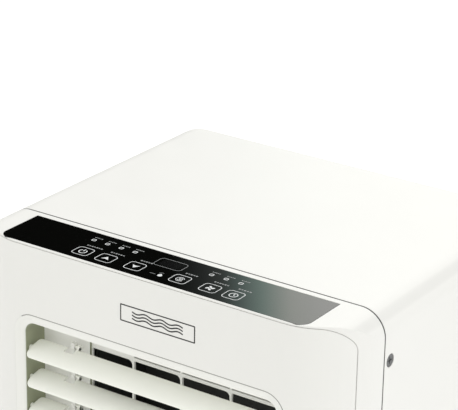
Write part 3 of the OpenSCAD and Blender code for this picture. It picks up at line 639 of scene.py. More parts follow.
def place(name, mesh, slot, replaced=(), body=ROOT, width=0.0004, segments=2):
    """A finished piece on its body, in its slot's finish."""
    piece = bpy.data.objects.new(name, mesh)
    bpy.context.scene.collection.objects.link(piece)
    mesh.materials.clear()
    mesh.materials.append(FINISH[slot])
    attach(piece, body)
    if replaced:
        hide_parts(*replaced)
    soften(piece, width, segments)


def body_of(node):
    """The body that a CAD node belongs to."""
    bodies = frame["record"]["behaviour"]["bodies"]
    return next(body for body, nodes in bodies.items() if node in nodes)


def refined(node, slot, width=0.0004, segments=2):
    """The CAD node's shape with rounded edges and a finish."""
    place(node + "_skin", cad_copy(node), slot, (node,), body_of(node), width, segments)


# ---------- cabinet shells ----------


def stations(corner, inset):
    """X places across the cabinet with the height of its top at each, left to right."""
    flat = HALF_W - SIDE_EDGE
    turn = HALF_W - corner
    edge = SIDE_EDGE - inset
    right = []
    reach = math.asin(min(1.0, max(0.0, flat - turn) / corner))
    count = max(1, round(math.degrees(reach) / 3))
    for i in range(count):
        right.append((turn + corner * math.sin(reach * i / count), TOP - inset))
    for i in range(19):
        a = math.radians(i * 5)
        right.append((flat + edge * math.sin(a), TOP - SIDE_EDGE + edge * math.cos(a)))
    return [(-x, z) for x, z in reversed(right)] + right


def half_shell(side, inset, crease, split, low):
    """Solid half of the cabinet from the split to the front (side -1) or the back (side 1)."""
    corner = FRONT_CORNER if side < 0 else BACK_CORNER

    def depth(x):
        """Y of the upright face at x."""
        r = corner - inset
        over = max(0.0, abs(x) - (HALF_W - corner))
        return HALF_D - corner + math.sqrt(max(0.0, r * r - over * over))

    first = stations(corner, inset)
    rows = [[(x, split, low) for x, z in first] + [(x, split, z) for x, z in reversed(first)]]
    for k in range(ARC_STEPS + 1):
        a = math.radians(90 * k / ARC_STEPS)
        drawn, back = crease * (1 - math.cos(a)), crease * (1 - math.sin(a))
        spots = [(x, side * (depth(x) - back), z) for x, z in stations(corner, inset + drawn)]
        rows.append([(x, y, low) for x, y, z in spots] + [(x, y, z) for x, y, z in reversed(spots)])
    points, faces = skin(rows)
    count = len(first)
    for base in (0, len(points) - 2 * count):
        for i in range(count - 1):
            faces.append((base + i, base + i + 1, base + 2 * count - 2 - i, base + 2 * count - 1 - i))
    return mesh_of("half", points, faces)


def front_cut(outline, back):
    """A cutting shape that reaches from before the front face to a given Y."""
    return prism_y(outline, -HALF_D - PAST, back)


def grown(low, high, by):
    """The outline in X and Z of a CAD box, larger by a margin on every side."""
    return rectangle(low.x - by, low.z - by, high.x + by, high.z + by)


def panel_outline(inset):
    """Outline of the front panel in X and Z."""
    half = HALF_W - PANEL_SIDE - inset
    low, high = SKIRT + 6 * MM + inset, TOP - PANEL_TOP - inset
    r = PANEL_R - inset
    return rounded((0, (low + high) / 2), 2 * half, high - low, (0, 0, r, r), 12)


def lens_outline(grow):
    """Outline of the control lens in X and Y."""
    low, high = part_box("control_lens")
    left, right = low.x - 1.5 * MM - grow, high.x + grow
    front, back = low.y - LENS_FRONT - grow, high.y + LENS_BACK + grow
    r = 9 * MM + grow
    return rounded(((left + right) / 2, (front + back) / 2), right - left, back - front, (r, r, 0, 0), 10)


class COOLER_OT_front_frame(Operator):
    """Front moulding: the frame round the panel, the seat of the lens and the tongue at the seam"""

    bl_idname = "cooler.front_frame"
    bl_label = "Front frame"

    def execute(self, context):
        look = context.scene.cooler_cabinet
        mesh = half_shell(-1, 0, look.crease_r, SEAM_MIDDLE - SEAM_LIP, SKIRT)
        rebate = front_cut(panel_outline(0), PANEL_BACK)
        mesh = carve(
            mesh,
            half_shell(-1, WALL, INNER_CREASE, SEAM + PAST, SKIRT - PAST),
            front_cut(panel_outline(PANEL_LAP), PANEL_BACK),
            carve(rebate, half_shell(-1, PANEL_SEAT, INNER_CREASE, SEAM, SKIRT - 9 * MM)),
            prism_z(lens_outline(LENS_FIT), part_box("control_lens")[0].z, TOP + PAST),
        )
        place("front_frame_shell", mesh, "shell", ("front_frame",), width=0.0003)
        front = rectangle(-HALF_W, 0, HALF_W, TOP + 1)
        tongue = carve(
            half_shell(-1, TONGUE_OUT, INNER_CREASE, TONGUE_BACK, TONGUE_LOW),
            half_shell(-1, TONGUE_IN, INNER_CREASE, TONGUE_BACK + 7 * MM, TONGUE_LOW - PAST),
            front_cut(front, TONGUE_FRONT),
        )
        place("seam_tongue", tongue, "shell", width=0.0)
        # Dark strip in the seam gap, in the rubber finish: painted shade of the gap between the mouldings
        painted_shade_strip = carve(
            half_shell(-1, SEAM_SHADE_INSET, INNER_CREASE, SEAM_MIDDLE + MM, SKIRT),
            half_shell(-1, SEAM_SHADE_T, INNER_CREASE, SEAM + PAST, SKIRT - PAST),
            front_cut(front, SEAM_MIDDLE - MM),
        )
        place("seam_painted_shade_strip", painted_shade_strip, "rubber", width=0.0)
        return {"FINISHED"}


class COOLER_OT_front_panel(Operator):
    """Front panel that clips into the frame, with the hole for the outlet"""

    bl_idname = "cooler.front_panel"
    bl_label = "Front panel"

    def execute(self, context):
        look = context.scene.cooler_cabinet
        mesh = half_shell(-1, 0, look.crease_r, SEAM - SEAM_GAP, SKIRT)
        mesh = carve(mesh, half_shell(-1, PANEL_T, INNER_CREASE, SEAM, SKIRT - PAST))
        body = front_cut(panel_outline(look.groove), PANEL_BACK - MM)
        mesh = carve(mesh, body, operation="INTERSECT")
        w, h = OPEN_W + 2 * RIM_W + RIM_FIT, OPEN_H + 2 * RIM_W + RIM_FIT
        hole = rounded((0, OPEN_MID), w, h, [OPEN_R + RIM_W] * 4, 12)
        mesh = carve(mesh, front_cut(hole, -HALF_D + 9 * MM))
        place("front_panel_shell", mesh, "shell", ("front_panel",), width=0.0004)
        return {"FINISHED"}


class COOLER_OT_rear_housing(Operator):
    """Rear moulding with its screw seats, grips and the opening for the back cover"""

    bl_idname = "cooler.rear_housing"
    bl_label = "Rear housing"

    def execute(self, context):
        look = context.scene.cooler_cabinet
        low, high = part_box("back_cover")
        tools = [
            half_shell(1, WALL, 1.5 * MM, SEAM - PAST, SKIRT - PAST),
            prism_y(grown(low, high, COVER_FIT), HALF_D - 6 * MM, HALF_D + PAST),
        ]
        ledge = carve(
            prism_y(grown(low, high, LEDGE_OUT), HALF_D - WALL - LEDGE_T, HALF_D - WALL),
            prism_y(grown(low, high, -LEDGE_IN), HALF_D - 9 * MM, HALF_D + PAST),
        )
        for spot in screw_spots():
            seat = circle(spot, SCREW_SEAT_R, 32)
            tools.append(prism_x(seat, -HALF_W - MM, -HALF_W + SCREW_SEAT_DEEP))
            tools.append(prism_x(seat, HALF_W - SCREW_SEAT_DEEP, HALF_W + MM))
        for node in ("grip_left", "grip_right"):
            a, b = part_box(node)
            middle = ((a.y + b.y) / 2, (a.z + b.z) / 2)
            pocket = rounded(middle, b.y - a.y, b.z - a.z, [2 * MM] * 4, 4)
            tools.append(prism_x(pocket, a.x - PAST, b.x + PAST))
        mesh = half_shell(1, 0, look.back_crease_r, SEAM_MIDDLE + SEAM_LIP, SKIRT)
        mesh = carve(mesh, *tools)
        place("rear_housing_shell", mesh, "shell", ("rear_housing",), width=0.0003)
        place("cover_ledge", ledge, "shell", width=0.0)
        return {"FINISHED"}


def screw_spots():
    """Y and Z of the side screws, from the CAD piece's own points."""
    points = [v.co for v in frame["nodes"]["side_screws"].data.vertices if v.co.x > HALF_W - 1.7 * MM]
    spots = []
    while points:
        lowest = min(p.z for p in points)
        near = [p for p in points if p.z - lowest < SCREW_APART]
        points = [p for p in points if p.z - lowest >= SCREW_APART]
        ys, zs = [p.y for p in near], [p.z for p in near]
        spots.append(((min(ys) + max(ys)) / 2, (min(zs) + max(zs)) / 2))
    return spots


# ---------- control panel ----------

# Middles of the printed marks: X, and Y counted forward from the seam
LAMPS = [(x, 19.0) for x in (-74, -61, -48, -35, 35, 48, 61)]
KEYS = {
    "power": (-67.5, 40.8),
    "up": (-45.7, 41.0),
    "down": (-19.5, 40.0),
    "mode": (20.9, 39.2),
    "speed": (47.6, 39.2),
    "timer": (68.1, 39.2),
}
LABEL_W = {"power": 15.0, "up": 13.5, "down": 11.5, "mode": 11.5, "speed": 13.5, "timer": 12.0}
DISPLAY = (0.0, 21.7)
TOUCH_SIGN = (5.0, 42.6)
# Printed outlines: corner radius and line width of a key; width, height, corner and line of the others
KEY_RING = (3.2, 0.55)
LAMP_RING = (3.7, 3.5, 1.1, 0.65)
DISPLAY_RING = (25.0, 14.0, 3.5, 0.35)
PRINT_T = 0.06 * MM


def ring_outline(outer, inner):
    """A flat ring between two outlines with the same number of points, as printed ink."""
    loops = [
        [(x, y, TOP) for x, y in inner], [(x, y, TOP + PRINT_T) for x, y in inner],
        [(x, y, TOP + PRINT_T) for x, y in outer], [(x, y, TOP) for x, y in outer],
    ]
    return mesh_of("ring", *skin(loops, closed=True))


def ink(outline):
    """A flat printed patch."""
    return prism_z(outline, TOP, TOP + PRINT_T)


def stroke(points, width):
    """A printed line of even width along points in millimetres."""
    left, right = [], []
    for i, p in enumerate(points):
        a, b = points[max(0, i - 1)], points[min(len(points) - 1, i + 1)]
        run = Vector((b[0] - a[0], b[1] - a[1])).normalized()
        off = Vector((-run.y, run.x)) * width / 2
        left.append(((p[0] + off.x) * MM, (p[1] + off.y) * MM))
        right.append(((p[0] - off.x) * MM, (p[1] - off.y) * MM))
    return ink(left + right[::-1])


def arc(cx, cy, r, start, end, steps=14):
    """Points in millimetres along an arc, angles in degrees."""
    angles = [math.radians(start + (end - start) * i / steps) for i in range(steps + 1)]
    return [(cx + r * math.cos(a), cy + r * math.sin(a)) for a in angles]


def frame_ring(x, y, w, h, r, line):
    """Outlined rounded rectangle; millimetres."""
    outer = rounded((x * MM, y * MM), w * MM, h * MM, [r * MM] * 4, 6)
    inner = rounded((x * MM, y * MM), (w - 2 * line) * MM, (h - 2 * line) * MM, [(r - line) * MM] * 4, 6)
    return ring_outline(outer, inner)


def key_sign(kind, x, y):
    """The sign inside a key: generic symbols for power, warmer, cooler, mode, speed and timer."""
    if kind == "power":
        return [stroke(arc(x, y - 0.3, 3.1, 125, 415), 0.8), stroke([(x, y), (x, y + 3.6)], 0.8)]
    if kind in ("up", "down"):
        s = 1 if kind == "up" else -1
        tip = [(x - 3.3, y - 2 * s), (x, y - 1.1 * s), (x + 3.3, y - 2 * s), (x, y + 2.8 * s)]
        return [ink([(a * MM, b * MM) for a, b in (tip if s > 0 else tip[::-1])])]
    if kind == "mode":
        rings = [stroke(arc(x, y, 3.3, 20, 330), 0.5), stroke(arc(x, y, 2.1, 200, 510), 0.5)]
        cross = [stroke([(x - 1.2, y), (x + 1.2, y)], 0.6), stroke([(x, y - 1.2), (x, y + 1.2)], 0.6)]
        return rings + cross
    if kind == "speed":
        vanes = []
        angles = [math.pi * i / 8 for i in range(16)]
        lobe = [(1.7 * math.cos(t), 0.95 * math.sin(t)) for t in angles]
        for k in range(4):
            a = math.radians(90 * k + 20)
            mid = (x + 2.1 * math.cos(a), y + 2.1 * math.sin(a))
            turn = a + 0.5
            vanes.append(ink([
                ((mid[0] + p * math.cos(turn) - q * math.sin(turn)) * MM,
                 (mid[1] + p * math.sin(turn) + q * math.cos(turn)) * MM) for p, q in lobe
            ]))
        return vanes
    return [
        frame_ring(x, y, 7.2, 7.2, 3.59, 0.7),
        stroke([(x, y - 0.2), (x, y + 2.4)], 0.6), stroke([(x, y), (x + 1.6, y - 1.1)], 0.6),
    ]


def dashes(x, y, w, high):
    """Short plain bars in a row, where a key or a lamp is labelled."""
    count = round(w / (1.5 * high))
    step = w / count
    bars = []
    for k in range(count):
        left = x - w / 2 + k * step
        ends = [(left + 0.25 * high, y), (left + step - 0.25 * high, y)]
        bars.append(stroke(ends, high * (1 - 0.3 * (k % 2))))
    return bars


class COOLER_OT_control_panel(Operator):
    """Glossy lens on the top with its printed keys, lamps and display window"""

    bl_idname = "cooler.control_panel"
    bl_label = "Control panel"

    def execute(self, context):
        look = context.scene.cooler_panel
        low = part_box("control_lens")[0].z
        lens = prism_z(lens_outline(0), low, TOP)
        place("lens_plate", lens, "lens", ("control_lens",), width=0.0003, segments=3)
        seam = SEAM_MIDDLE / MM
        size = look.key_size / MM
        bright, faint = [], []
        for kind, (x, forward) in KEYS.items():
            y = seam - forward
            bright.append(frame_ring(x, y, size, size * 0.93, *KEY_RING))
            bright.extend(key_sign(kind, x, y))
            faint.extend(dashes(x + 2.5, y + size * 0.47 + 4.4, LABEL_W[kind], 1.5))
        for x, forward in LAMPS:
            y = seam - forward
            bright.append(frame_ring(x, y, *LAMP_RING))
            faint.append(ink(circle((x * MM, y * MM), 0.45 * MM, 12)))
            faint.extend(dashes(x + 1.2, y + 4.8, 7.5, 1.1))
        x, y = TOUCH_SIGN[0], seam - TOUCH_SIGN[1]
        finger = arc(x, y, 1.9, 150, 390, 10) + [(x - 0.4, y + 3.0)]
        bright.append(ink([(p * MM, q * MM) for p, q in finger]))
        faint.append(stroke(arc(x - 0.4, y + 2.6, 2.2, 60, 170, 8), 0.35))
        faint.append(stroke([(x - 9, y), (x - 4, y)], 0.4))
        place("key_prints", joined("key_prints", bright), "print", width=0.0)
        display = (DISPLAY[0], seam - DISPLAY[1])
        faint.append(frame_ring(*display, *DISPLAY_RING))
        place("label_prints", joined("label_prints", faint), "faint", width=0.0)
        window = rounded((display[0] * MM, display[1] * MM), 17 * MM, 9.5 * MM, [0.8 * MM] * 4, 3)
        place("display_window", prism_z(window, TOP, TOP + PRINT_T / 2), "display", width=0.0)
        return {"FINISHED"}


# Badge: its line, and its waves' rows, height, radians per millimetre and stroke, in millimetres
BADGE_LINE = 1.0 * MM
WAVE_ROWS = (-2.6, 0.0, 2.6)
WAVE_HIGH, WAVE_TURN, WAVE_W = 0.9, 0.42, 1.1


class COOLER_OT_badge(Operator):
    """Plain badge on the front panel: a thin frame round a row of air waves"""

    bl_idname = "cooler.badge"
    bl_label = "Badge"

    def execute(self, context):
        low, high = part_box("badge")
        cx, cz = (low.x + high.x) / 2, (low.z + high.z) / 2
        w, h = high.x - low.x, high.z - low.z
        face = -HALF_D

        def upright(mesh):
            """Turns ink drawn on the top to stand on the front face."""
            mesh.transform(Matrix.Translation((0, 0, -TOP)))
            mesh.transform(Matrix.Rotation(math.radians(90), 4, "X"))
            return moved(mesh, cx, face, cz)

        outer = rounded((0, 0), w, h, [0.8 * MM] * 4, 4)
        inner = rounded((0, 0), w - 2 * BADGE_LINE, h - 2 * BADGE_LINE, [0.3 * MM] * 4, 4)
        inks = [upright(ring_outline(outer, inner))]
        for row in WAVE_ROWS:
            wave = [(x * 0.5, row + WAVE_HIGH * math.sin(x * 0.5 * WAVE_TURN)) for x in range(-46, 47)]
            inks.append(upright(stroke(wave, WAVE_W)))
        patch = rounded((cx, cz), w + 0.4 * MM, h + 0.4 * MM, [MM] * 4, 4)
        ground = prism_y(patch, face - 0.01 * MM, face + 0.6 * MM)
        place("badge_ground", ground, "shell", width=0.0)
        place("badge_print", joined("badge_print", inks), "badge", ("badge",), width=0.0)
        return {"FINISHED"}


# ---------- outlet ----------


def outlet_edge(grow):
    """Outline in X and Z round the outlet's opening, larger by a margin."""
    return rounded((0, OPEN_MID), OPEN_W + 2 * grow, OPEN_H + 2 * grow, [OPEN_R + grow] * 4, RIM_STEPS)


class COOLER_OT_outlet(Operator):
    """Outlet moulding with its sloped rim and recess, and the guard bars in front of the duct"""

    bl_idname = "cooler.outlet"
    bl_label = "Outlet frame and guard"

    def execute(self, context):
        look = context.scene.cooler_outlet
        mesh = cad_copy("outlet_frame")
        wide, tight = RIM_W - 2.6 * MM, -0.2 * MM
        slope = ((wide + 1.5 * MM, -HALF_D - MM), (wide, -HALF_D), (tight, -HALF_D + look.bevel_depth))
        loops = [[(x, y, z) for x, z in outlet_edge(grow)] for grow, y in slope]
        mesh = carve(mesh, loft("slope", loops))
        place("outlet_frame_rim", mesh, "trim", ("outlet_frame",), width=0.0005, segments=3)
        # The grey strip, painted shadow along the line round the rim, runs from the middle of the lower left
        # corner to the middle of the upper left one
        start = RIM_STEPS // 2
        end = start + 3 * (RIM_STEPS + 1)
        edge = RIM_W + 0.1 * MM
        inner = outlet_edge(edge - SHADOW_LINE / 2)[start:end]
        outer = outlet_edge(edge + SHADOW_LINE / 2)[start:end]
        seal = prism_y(inner + outer[::-1], -HALF_D - 0.02 * MM, -HALF_D + 0.5 * MM)
        place("outlet_painted_shade_strip", seal, "seal", width=0.0)
        low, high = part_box("outlet_grille")
        y0, y1 = low.y, low.y + GUARD_T
        plate = prism_y(rectangle(low.x, low.z, high.x, high.z), y0, y1)
        edges = [low.x + 3.3 * MM] + RIBS + [high.x - 3.3 * MM]
        tools = []
        middle, tall = (CELL_TOP + low.z + CELL_MARGIN) / 2, CELL_TOP - low.z - CELL_MARGIN
        for k, (left, right) in enumerate(zip(edges, edges[1:])):
            left, right = left + (RIB_T / 2 if k else 0), right - RIB_T / 2
            radii = (0, 0, 4 * MM, 1 * MM if k else 0)
            cell = rounded(((left + right) / 2, middle), right - left, tall, radii, 6)
            tools.append(prism_y(cell, y0 - MM, y1 + MM))
            if k:
                slot = rectangle(left, CELL_TOP + 2.7 * MM, right, CELL_TOP + (4.0 + 0.3 * k) * MM)
                tools.append(prism_y(slot, y0 - MM, y1 + MM))
        place("outlet_guard", carve(plate, *tools), "guard", ("outlet_grille",), width=0.0002)
        return {"FINISHED"}


def blade_section(share):
    """Closed section of a blade in (chord, height), rear edge last of the upper side."""
    count = 14
    section = []
    for i in range(2 * count):
        u = -math.cos(math.pi * i / count)
        thick = BLADE_T / 2 * math.sqrt(max(0.0, 1 - u ** 6)) * share
        section.append((u, BLADE_BOW * (1 - u * u) + (thick if i <= count else -thick)))
    return section


def blade_end(u, stepped):
    """How far the blade's end is drawn in at a place across its chord: round corners and a step."""
    r = BLADE_CORNER
    over = max(0.0, abs(u) * BLADE_CHORD / 2 - (BLADE_CHORD / 2 - r))
    drawn = r - math.sqrt(max(0.0, r * r - over * over))
    rise = min(1.0, max(0.0, (u + 0.1) / 0.35))
    return drawn + (BLADE_STEP * rise * rise * (3 - 2 * rise) if stepped else 0.0)


def blade_mesh():
    """One blade about its own axis, with its end pins, link arm and link pin."""
    loops = []
    ends = [(0.0, 0.55), (0.35, 0.85), (1.0, 1.0)]
    for side, inward, share in [(-1, *end) for end in ends] + [(1, *end) for end in reversed(ends)]:
        loop = []
        for u, height in blade_section(share):
            x = side * (BLADE_END - blade_end(u, side < 0) - inward * MM)
            loop.append((x, u * BLADE_CHORD / 2, height))
        loops.append(loop)
    notch = rectangle(4 * MM, -8 * MM, 20 * MM, 8 * MM)
    body = carve(loft("blade", loops), prism_x(notch, LINK_X - NOTCH_HALF, LINK_X + NOTCH_HALF))
    arm = rectangle(4 * MM, -1.3 * MM, LINK_REACH, 1.3 * MM)
    arm = prism_x(arm, LINK_X + NOTCH_HALF, LINK_X + ARM_END)
    eye = lathe([(NOTCH_HALF, EYE_R), (ARM_END, EYE_R)], "X", (LINK_X, LINK_REACH, 0), 24)
    pin = [(-2.9 * MM, 1.0 * MM), (-2.6 * MM, LINK_PIN_R), (5 * MM, LINK_PIN_R)]
    parts = [body, arm, eye, lathe(pin, "X", (LINK_X, LINK_REACH, 0), 20)]
    stub = [(2.9 * MM, PIN_R - 0.3 * MM), (2.5 * MM, PIN_R), (-4 * MM, PIN_R)]
    for side in (-1, 1):
        parts.append(lathe(sorted((side * (BLADE_END + x), r) for x, r in stub), "X", (0, 0, 0), 24))
    mesh = joined("blade", parts)
    mesh.transform(Matrix.Rotation(BLADE_TILT, 4, "X"))
    return mesh


class COOLER_OT_blades(Operator):
    """Swinging blades, the bar that links them and the crank that drives it"""

    bl_idname = "cooler.blades"
    bl_label = "Blades and link"

    def execute(self, context):
        if not BLADES:
            raise RuntimeError("the frame has no blade joints")
        for joint in BLADES:
            node = joint["child"]
            mesh = moved(blade_mesh(), 0, joint["pos_m"][1], joint["pos_m"][2])
            place(node + "_blade", mesh, "blade", (node,), node, width=0.00025)
        refined("louver_link", "guard", 0.0003)
        refined("swing_crank", "crank", 0.0002)
        refined("swing_motor", "steel", 0.0003)
        return {"FINISHED"}


# ---------- back ----------


class COOLER_OT_back_cover(Operator):
    """Back cover with its intake slots, the intake grille and the filter behind it"""

    bl_idname = "cooler.back_cover"
    bl_label = "Back cover, grille and filter"

    def execute(self, context):
        for node in ("back_cover", "upper_grille"):
            place(node + "_skin", cad_copy(node, False), "shell", (node,), body_of(node), 0.0)
        low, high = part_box("air_filter")
        y = high.y - 2.7 * MM
        threads = []
        step, edge, half = 4.2 * MM, 12.5 * MM, 0.35 * MM
        columns = int((high.x - low.x - 2 * edge) / step)
        rows = int((high.z - low.z - 2 * edge) / step)
        for k in range(1, columns + 1):
            x = low.x + edge + k * step
            thread = rectangle(x - half, low.z + edge, x + half, high.z - edge)
            threads.append(prism_y(thread, y - half, y + half / 2))
        for k in range(1, rows + 1):
            z = low.z + edge + k * step
            thread = rectangle(low.x + edge, z - half, high.x - edge, z + half)
            threads.append(prism_y(thread, y, y + half * 1.5))
        border = prism_y(grown(low, high, 0), low.y, high.y)
        border = carve(border, prism_y(grown(low, high, -6 * MM), low.y - MM, high.y + MM))
        body = body_of("air_filter")
        place("filter_border", border, "filter", ("air_filter",), body, width=0.0004)
        place("filter_threads", joined("filter_threads", threads), "filter", (), body, width=0.0)
        return {"FINISHED"}


class COOLER_OT_back_fittings(Operator):
    """Exhaust port, drain plugs, cord gland, grips and side screws"""

    bl_idname = "cooler.back_fittings"
    bl_label = "Ports, plugs, grips and screws"

    def execute(self, context):
        refined("exhaust_collar", "collar", 0.0004)
        for node in ("drain_plug_lower", "drain_plug_upper"):
            low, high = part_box(node)
            cx, cz, r = (low.x + high.x) / 2, (low.z + high.z) / 2, (high.x - low.x) / 2
            shaft = r - 2.55 * MM
            profile = [
                (low.y, shaft - 0.5 * MM), (low.y + 0.6 * MM, shaft), (low.y + 5.9 * MM, shaft),
                (low.y + 6.1 * MM, r - 0.3 * MM), (low.y + 6.4 * MM, r), (high.y - 0.7 * MM, r),
                (high.y - 0.2 * MM, r - 0.5 * MM), (high.y - 0.2 * MM, r - 1.6 * MM),
                (high.y - 0.9 * MM, r - 2.1 * MM), (high.y - 0.9 * MM, 1.4 * MM), (high.y, 1.0 * MM),
            ]
            place(node + "_plug", lathe(profile, "Y", (cx, 0, cz)), "rubber", (node,), body_of(node), 0.0)
        low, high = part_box("cord_gland")
        cx, cz = (low.x + high.x) / 2, (low.z + high.z) / 2
        profile = [(0.0, 9.0), (4.2, 9.0), (4.2, 12.0), (6.2, 12.0), (6.2, 9.0), (8.5, 9.0), (9.0, 8.4),
                   (9.0, 6.6), (8.2, 5.6), (8.2, 4.2), (7.6, 4.0)]
        gland = lathe([(high.y - (9.0 - y) * MM, r * MM) for y, r in profile], "Y", (cx, 0, cz))
        place("cord_gland_ring", gland, "rubber", ("cord_gland",), width=0.0)
        for node in ("grip_left", "grip_right"):
            refined(node, "guard", 0.0008, 3)
        refined("side_screws", "screw", 0.0002)
        return {"FINISHED"}


# ---------- inside ----------


def fin_pack(node):
    """Thin upright fins between the end plates of a heat exchanger, and the tubes through them."""
    low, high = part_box(node)
    y0, y1 = low.y + 2 * MM, high.y - 2 * MM
    count = int((high.x - low.x - 4 * MM) / FIN_PITCH)
    first = (low.x + high.x) / 2 - (count - 1) * FIN_PITCH / 2
    fins = []
    for k in range(count):
        x = first + k * FIN_PITCH
        fins.append(prism_z(rectangle(x - FIN_HALF, y0, x + FIN_HALF, y1), low.z + MM, high.z - MM))
    for x in (low.x, high.x - END_PLATE):
        fins.append(prism_z(rectangle(x, low.y, x + END_PLATE, high.y), low.z, high.z))
    tubes = []
    rows = int((high.z - low.z - 30 * MM) / TUBE_RISE)
    for row in range(rows + 1):
        z = low.z + TUBE_FIRST + row * TUBE_RISE
        for y in (y0 + 6 * MM, y1 - 6 * MM):
            tubes.append(lathe([(low.x + MM, TUBE_R), (high.x - MM, TUBE_R)], "X", (0, y, z), 12))
    return joined(node, fins), joined(node + "_tubes", tubes)


class COOLER_OT_inside(Operator):
    """Heat exchangers with real fins, and the finish of everything else inside"""

    bl_idname = "cooler.inside"
    bl_label = "Inside"

    def execute(self, context):
        for node in ("evaporator_coil", "condenser_coil"):
            fins, tubes = fin_pack(node)
            place(node + "_fins", fins, "fins", (node,), width=0.0)
            place(node + "_passes", tubes, "copper", width=0.0)
        slots = {s["node"]: s["material_slot"] for s in frame["record"]["subparts"]}
        for node, item in frame["nodes"].items():
            if item.hide_render:
                continue
            shade(item.data, 30)
            item.data.materials.clear()
            item.data.materials.append(FINISH[slots[node]])
        return {"FINISHED"}


# ---------- base ----------


class COOLER_OT_casters(Operator):
    """Casters: forks with rounded edges and wheels with a moulded hub and a soft tread"""

    bl_idname = "cooler.casters"
    bl_label = "Casters"

    def execute(self, context):
        for corner in ("fl", "fr", "bl", "br"):
            refined("caster_yoke_" + corner, "caster", 0.0005)
            node = "caster_wheel_" + corner
            low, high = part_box(node)
            centre = (low + high) / 2
            r, half = (high.z - low.z) / 2, (high.x - low.x) / 2
            tread = half - 3 * MM
            rim = [
                (half - 1.2 * MM, 3.6 * MM), (half, 4.2 * MM), (half, 6 * MM), (half - 1.6 * MM, 7 * MM),
                (half - 1.6 * MM, r - 5.2 * MM), (half - 0.3 * MM, r - 4.4 * MM),
                (half - 0.3 * MM, r - 3.4 * MM), (tread + 0.2 * MM, r - 3 * MM), (tread, r - 1.2 * MM),
                (tread - 1.0 * MM, r - 0.25 * MM), (tread - 2.4 * MM, r),
            ]
            profile = [(-x, q) for x, q in rim] + rim[::-1]
            place(node + "_tread", lathe(profile, "X", centre, 64), "tyre", (node,), node, width=0.0)
        refined("base_pan", "pan", 0.0005)
        return {"FINISHED"}


# ---------- stage ----------


def area_light(name, spot, aim, size, power, color=(1.0, 1.0, 1.0)):
    """A soft rectangular lamp at a spot, turned towards its aim."""
    data = bpy.data.lights.new(name, "AREA")
    data.shape = "RECTANGLE"
    data.size, data.size_y = size
    data.energy = power
    data.color = color
    light = bpy.data.objects.new(name, data)
    light.location = spot
    light.rotation_euler = (Vector(aim) - Vector(spot)).to_track_quat("-Z", "Y").to_euler()
    bpy.context.scene.collection.objects.link(light)


def reflected_card():
    """A tall card far behind, seen only in reflections: dark on the left, bright on the right."""
    middle = Vector((-0.032, -0.118, TOP))
    away = Vector((-0.518, 0.769, 0.375)).normalized()
    across = Vector((0.825, 0.565, 0.0)).normalized()
    rise = across.cross(-away).normalized()
    centre = middle + away * 1.5
    half_w, half_h = 1.1, 0.8
    signs = ((-1, -1), (1, -1), (1, 1), (-1, 1))
    corners = [centre + across * (sx * half_w) + rise * (sz * half_h) for sx, sz in signs]
    mesh = bpy.data.meshes.new("reflection_card")
    mesh.from_pydata([tuple(c) for c in corners], [], [(0, 1, 2, 3)])
    layer = mesh.uv_layers.new(name="card")
    for loop, spot in zip(layer.data, ((0, 0), (1, 0), (1, 1), (0, 1))):
        loop.uv = spot
    card = bpy.data.objects.new("reflection_card", mesh)
    bpy.context.scene.collection.objects.link(card)
    material = bpy.data.materials.new("Reflection card")
    material.use_nodes = True
    nodes, links = material.node_tree.nodes, material.node_tree.links
    nodes.clear()
    spot, split = add(nodes, "UVMap"), add(nodes, "SeparateXYZ")
    ramp = ramp_through(nodes, [
        (0.0, (0.0, 0.0, 0.0)), (0.495, (0.004, 0.004, 0.004)), (0.515, (0.045, 0.05, 0.048)),
        (0.528, (0.09, 0.10, 0.095)), (0.54, (0.20, 0.26, 0.24)), (0.556, (0.42, 0.55, 0.49)),
        (0.575, (0.86, 0.89, 0.82)), (0.60, (1.0, 1.0, 0.96)),
    ])
    glow, out = add(nodes, "Emission", Strength=1.8), add(nodes, "OutputMaterial")
    links.new(spot.outputs["UV"], split.inputs["Vector"])
    links.new(split.outputs["X"], ramp.inputs["Fac"])
    links.new(ramp.outputs["Color"], glow.inputs["Color"])
    links.new(glow.outputs["Emission"], out.inputs["Surface"])
    mesh.materials.append(material)
    card.visible_camera = card.visible_diffuse = card.visible_shadow = card.visible_transmission = False


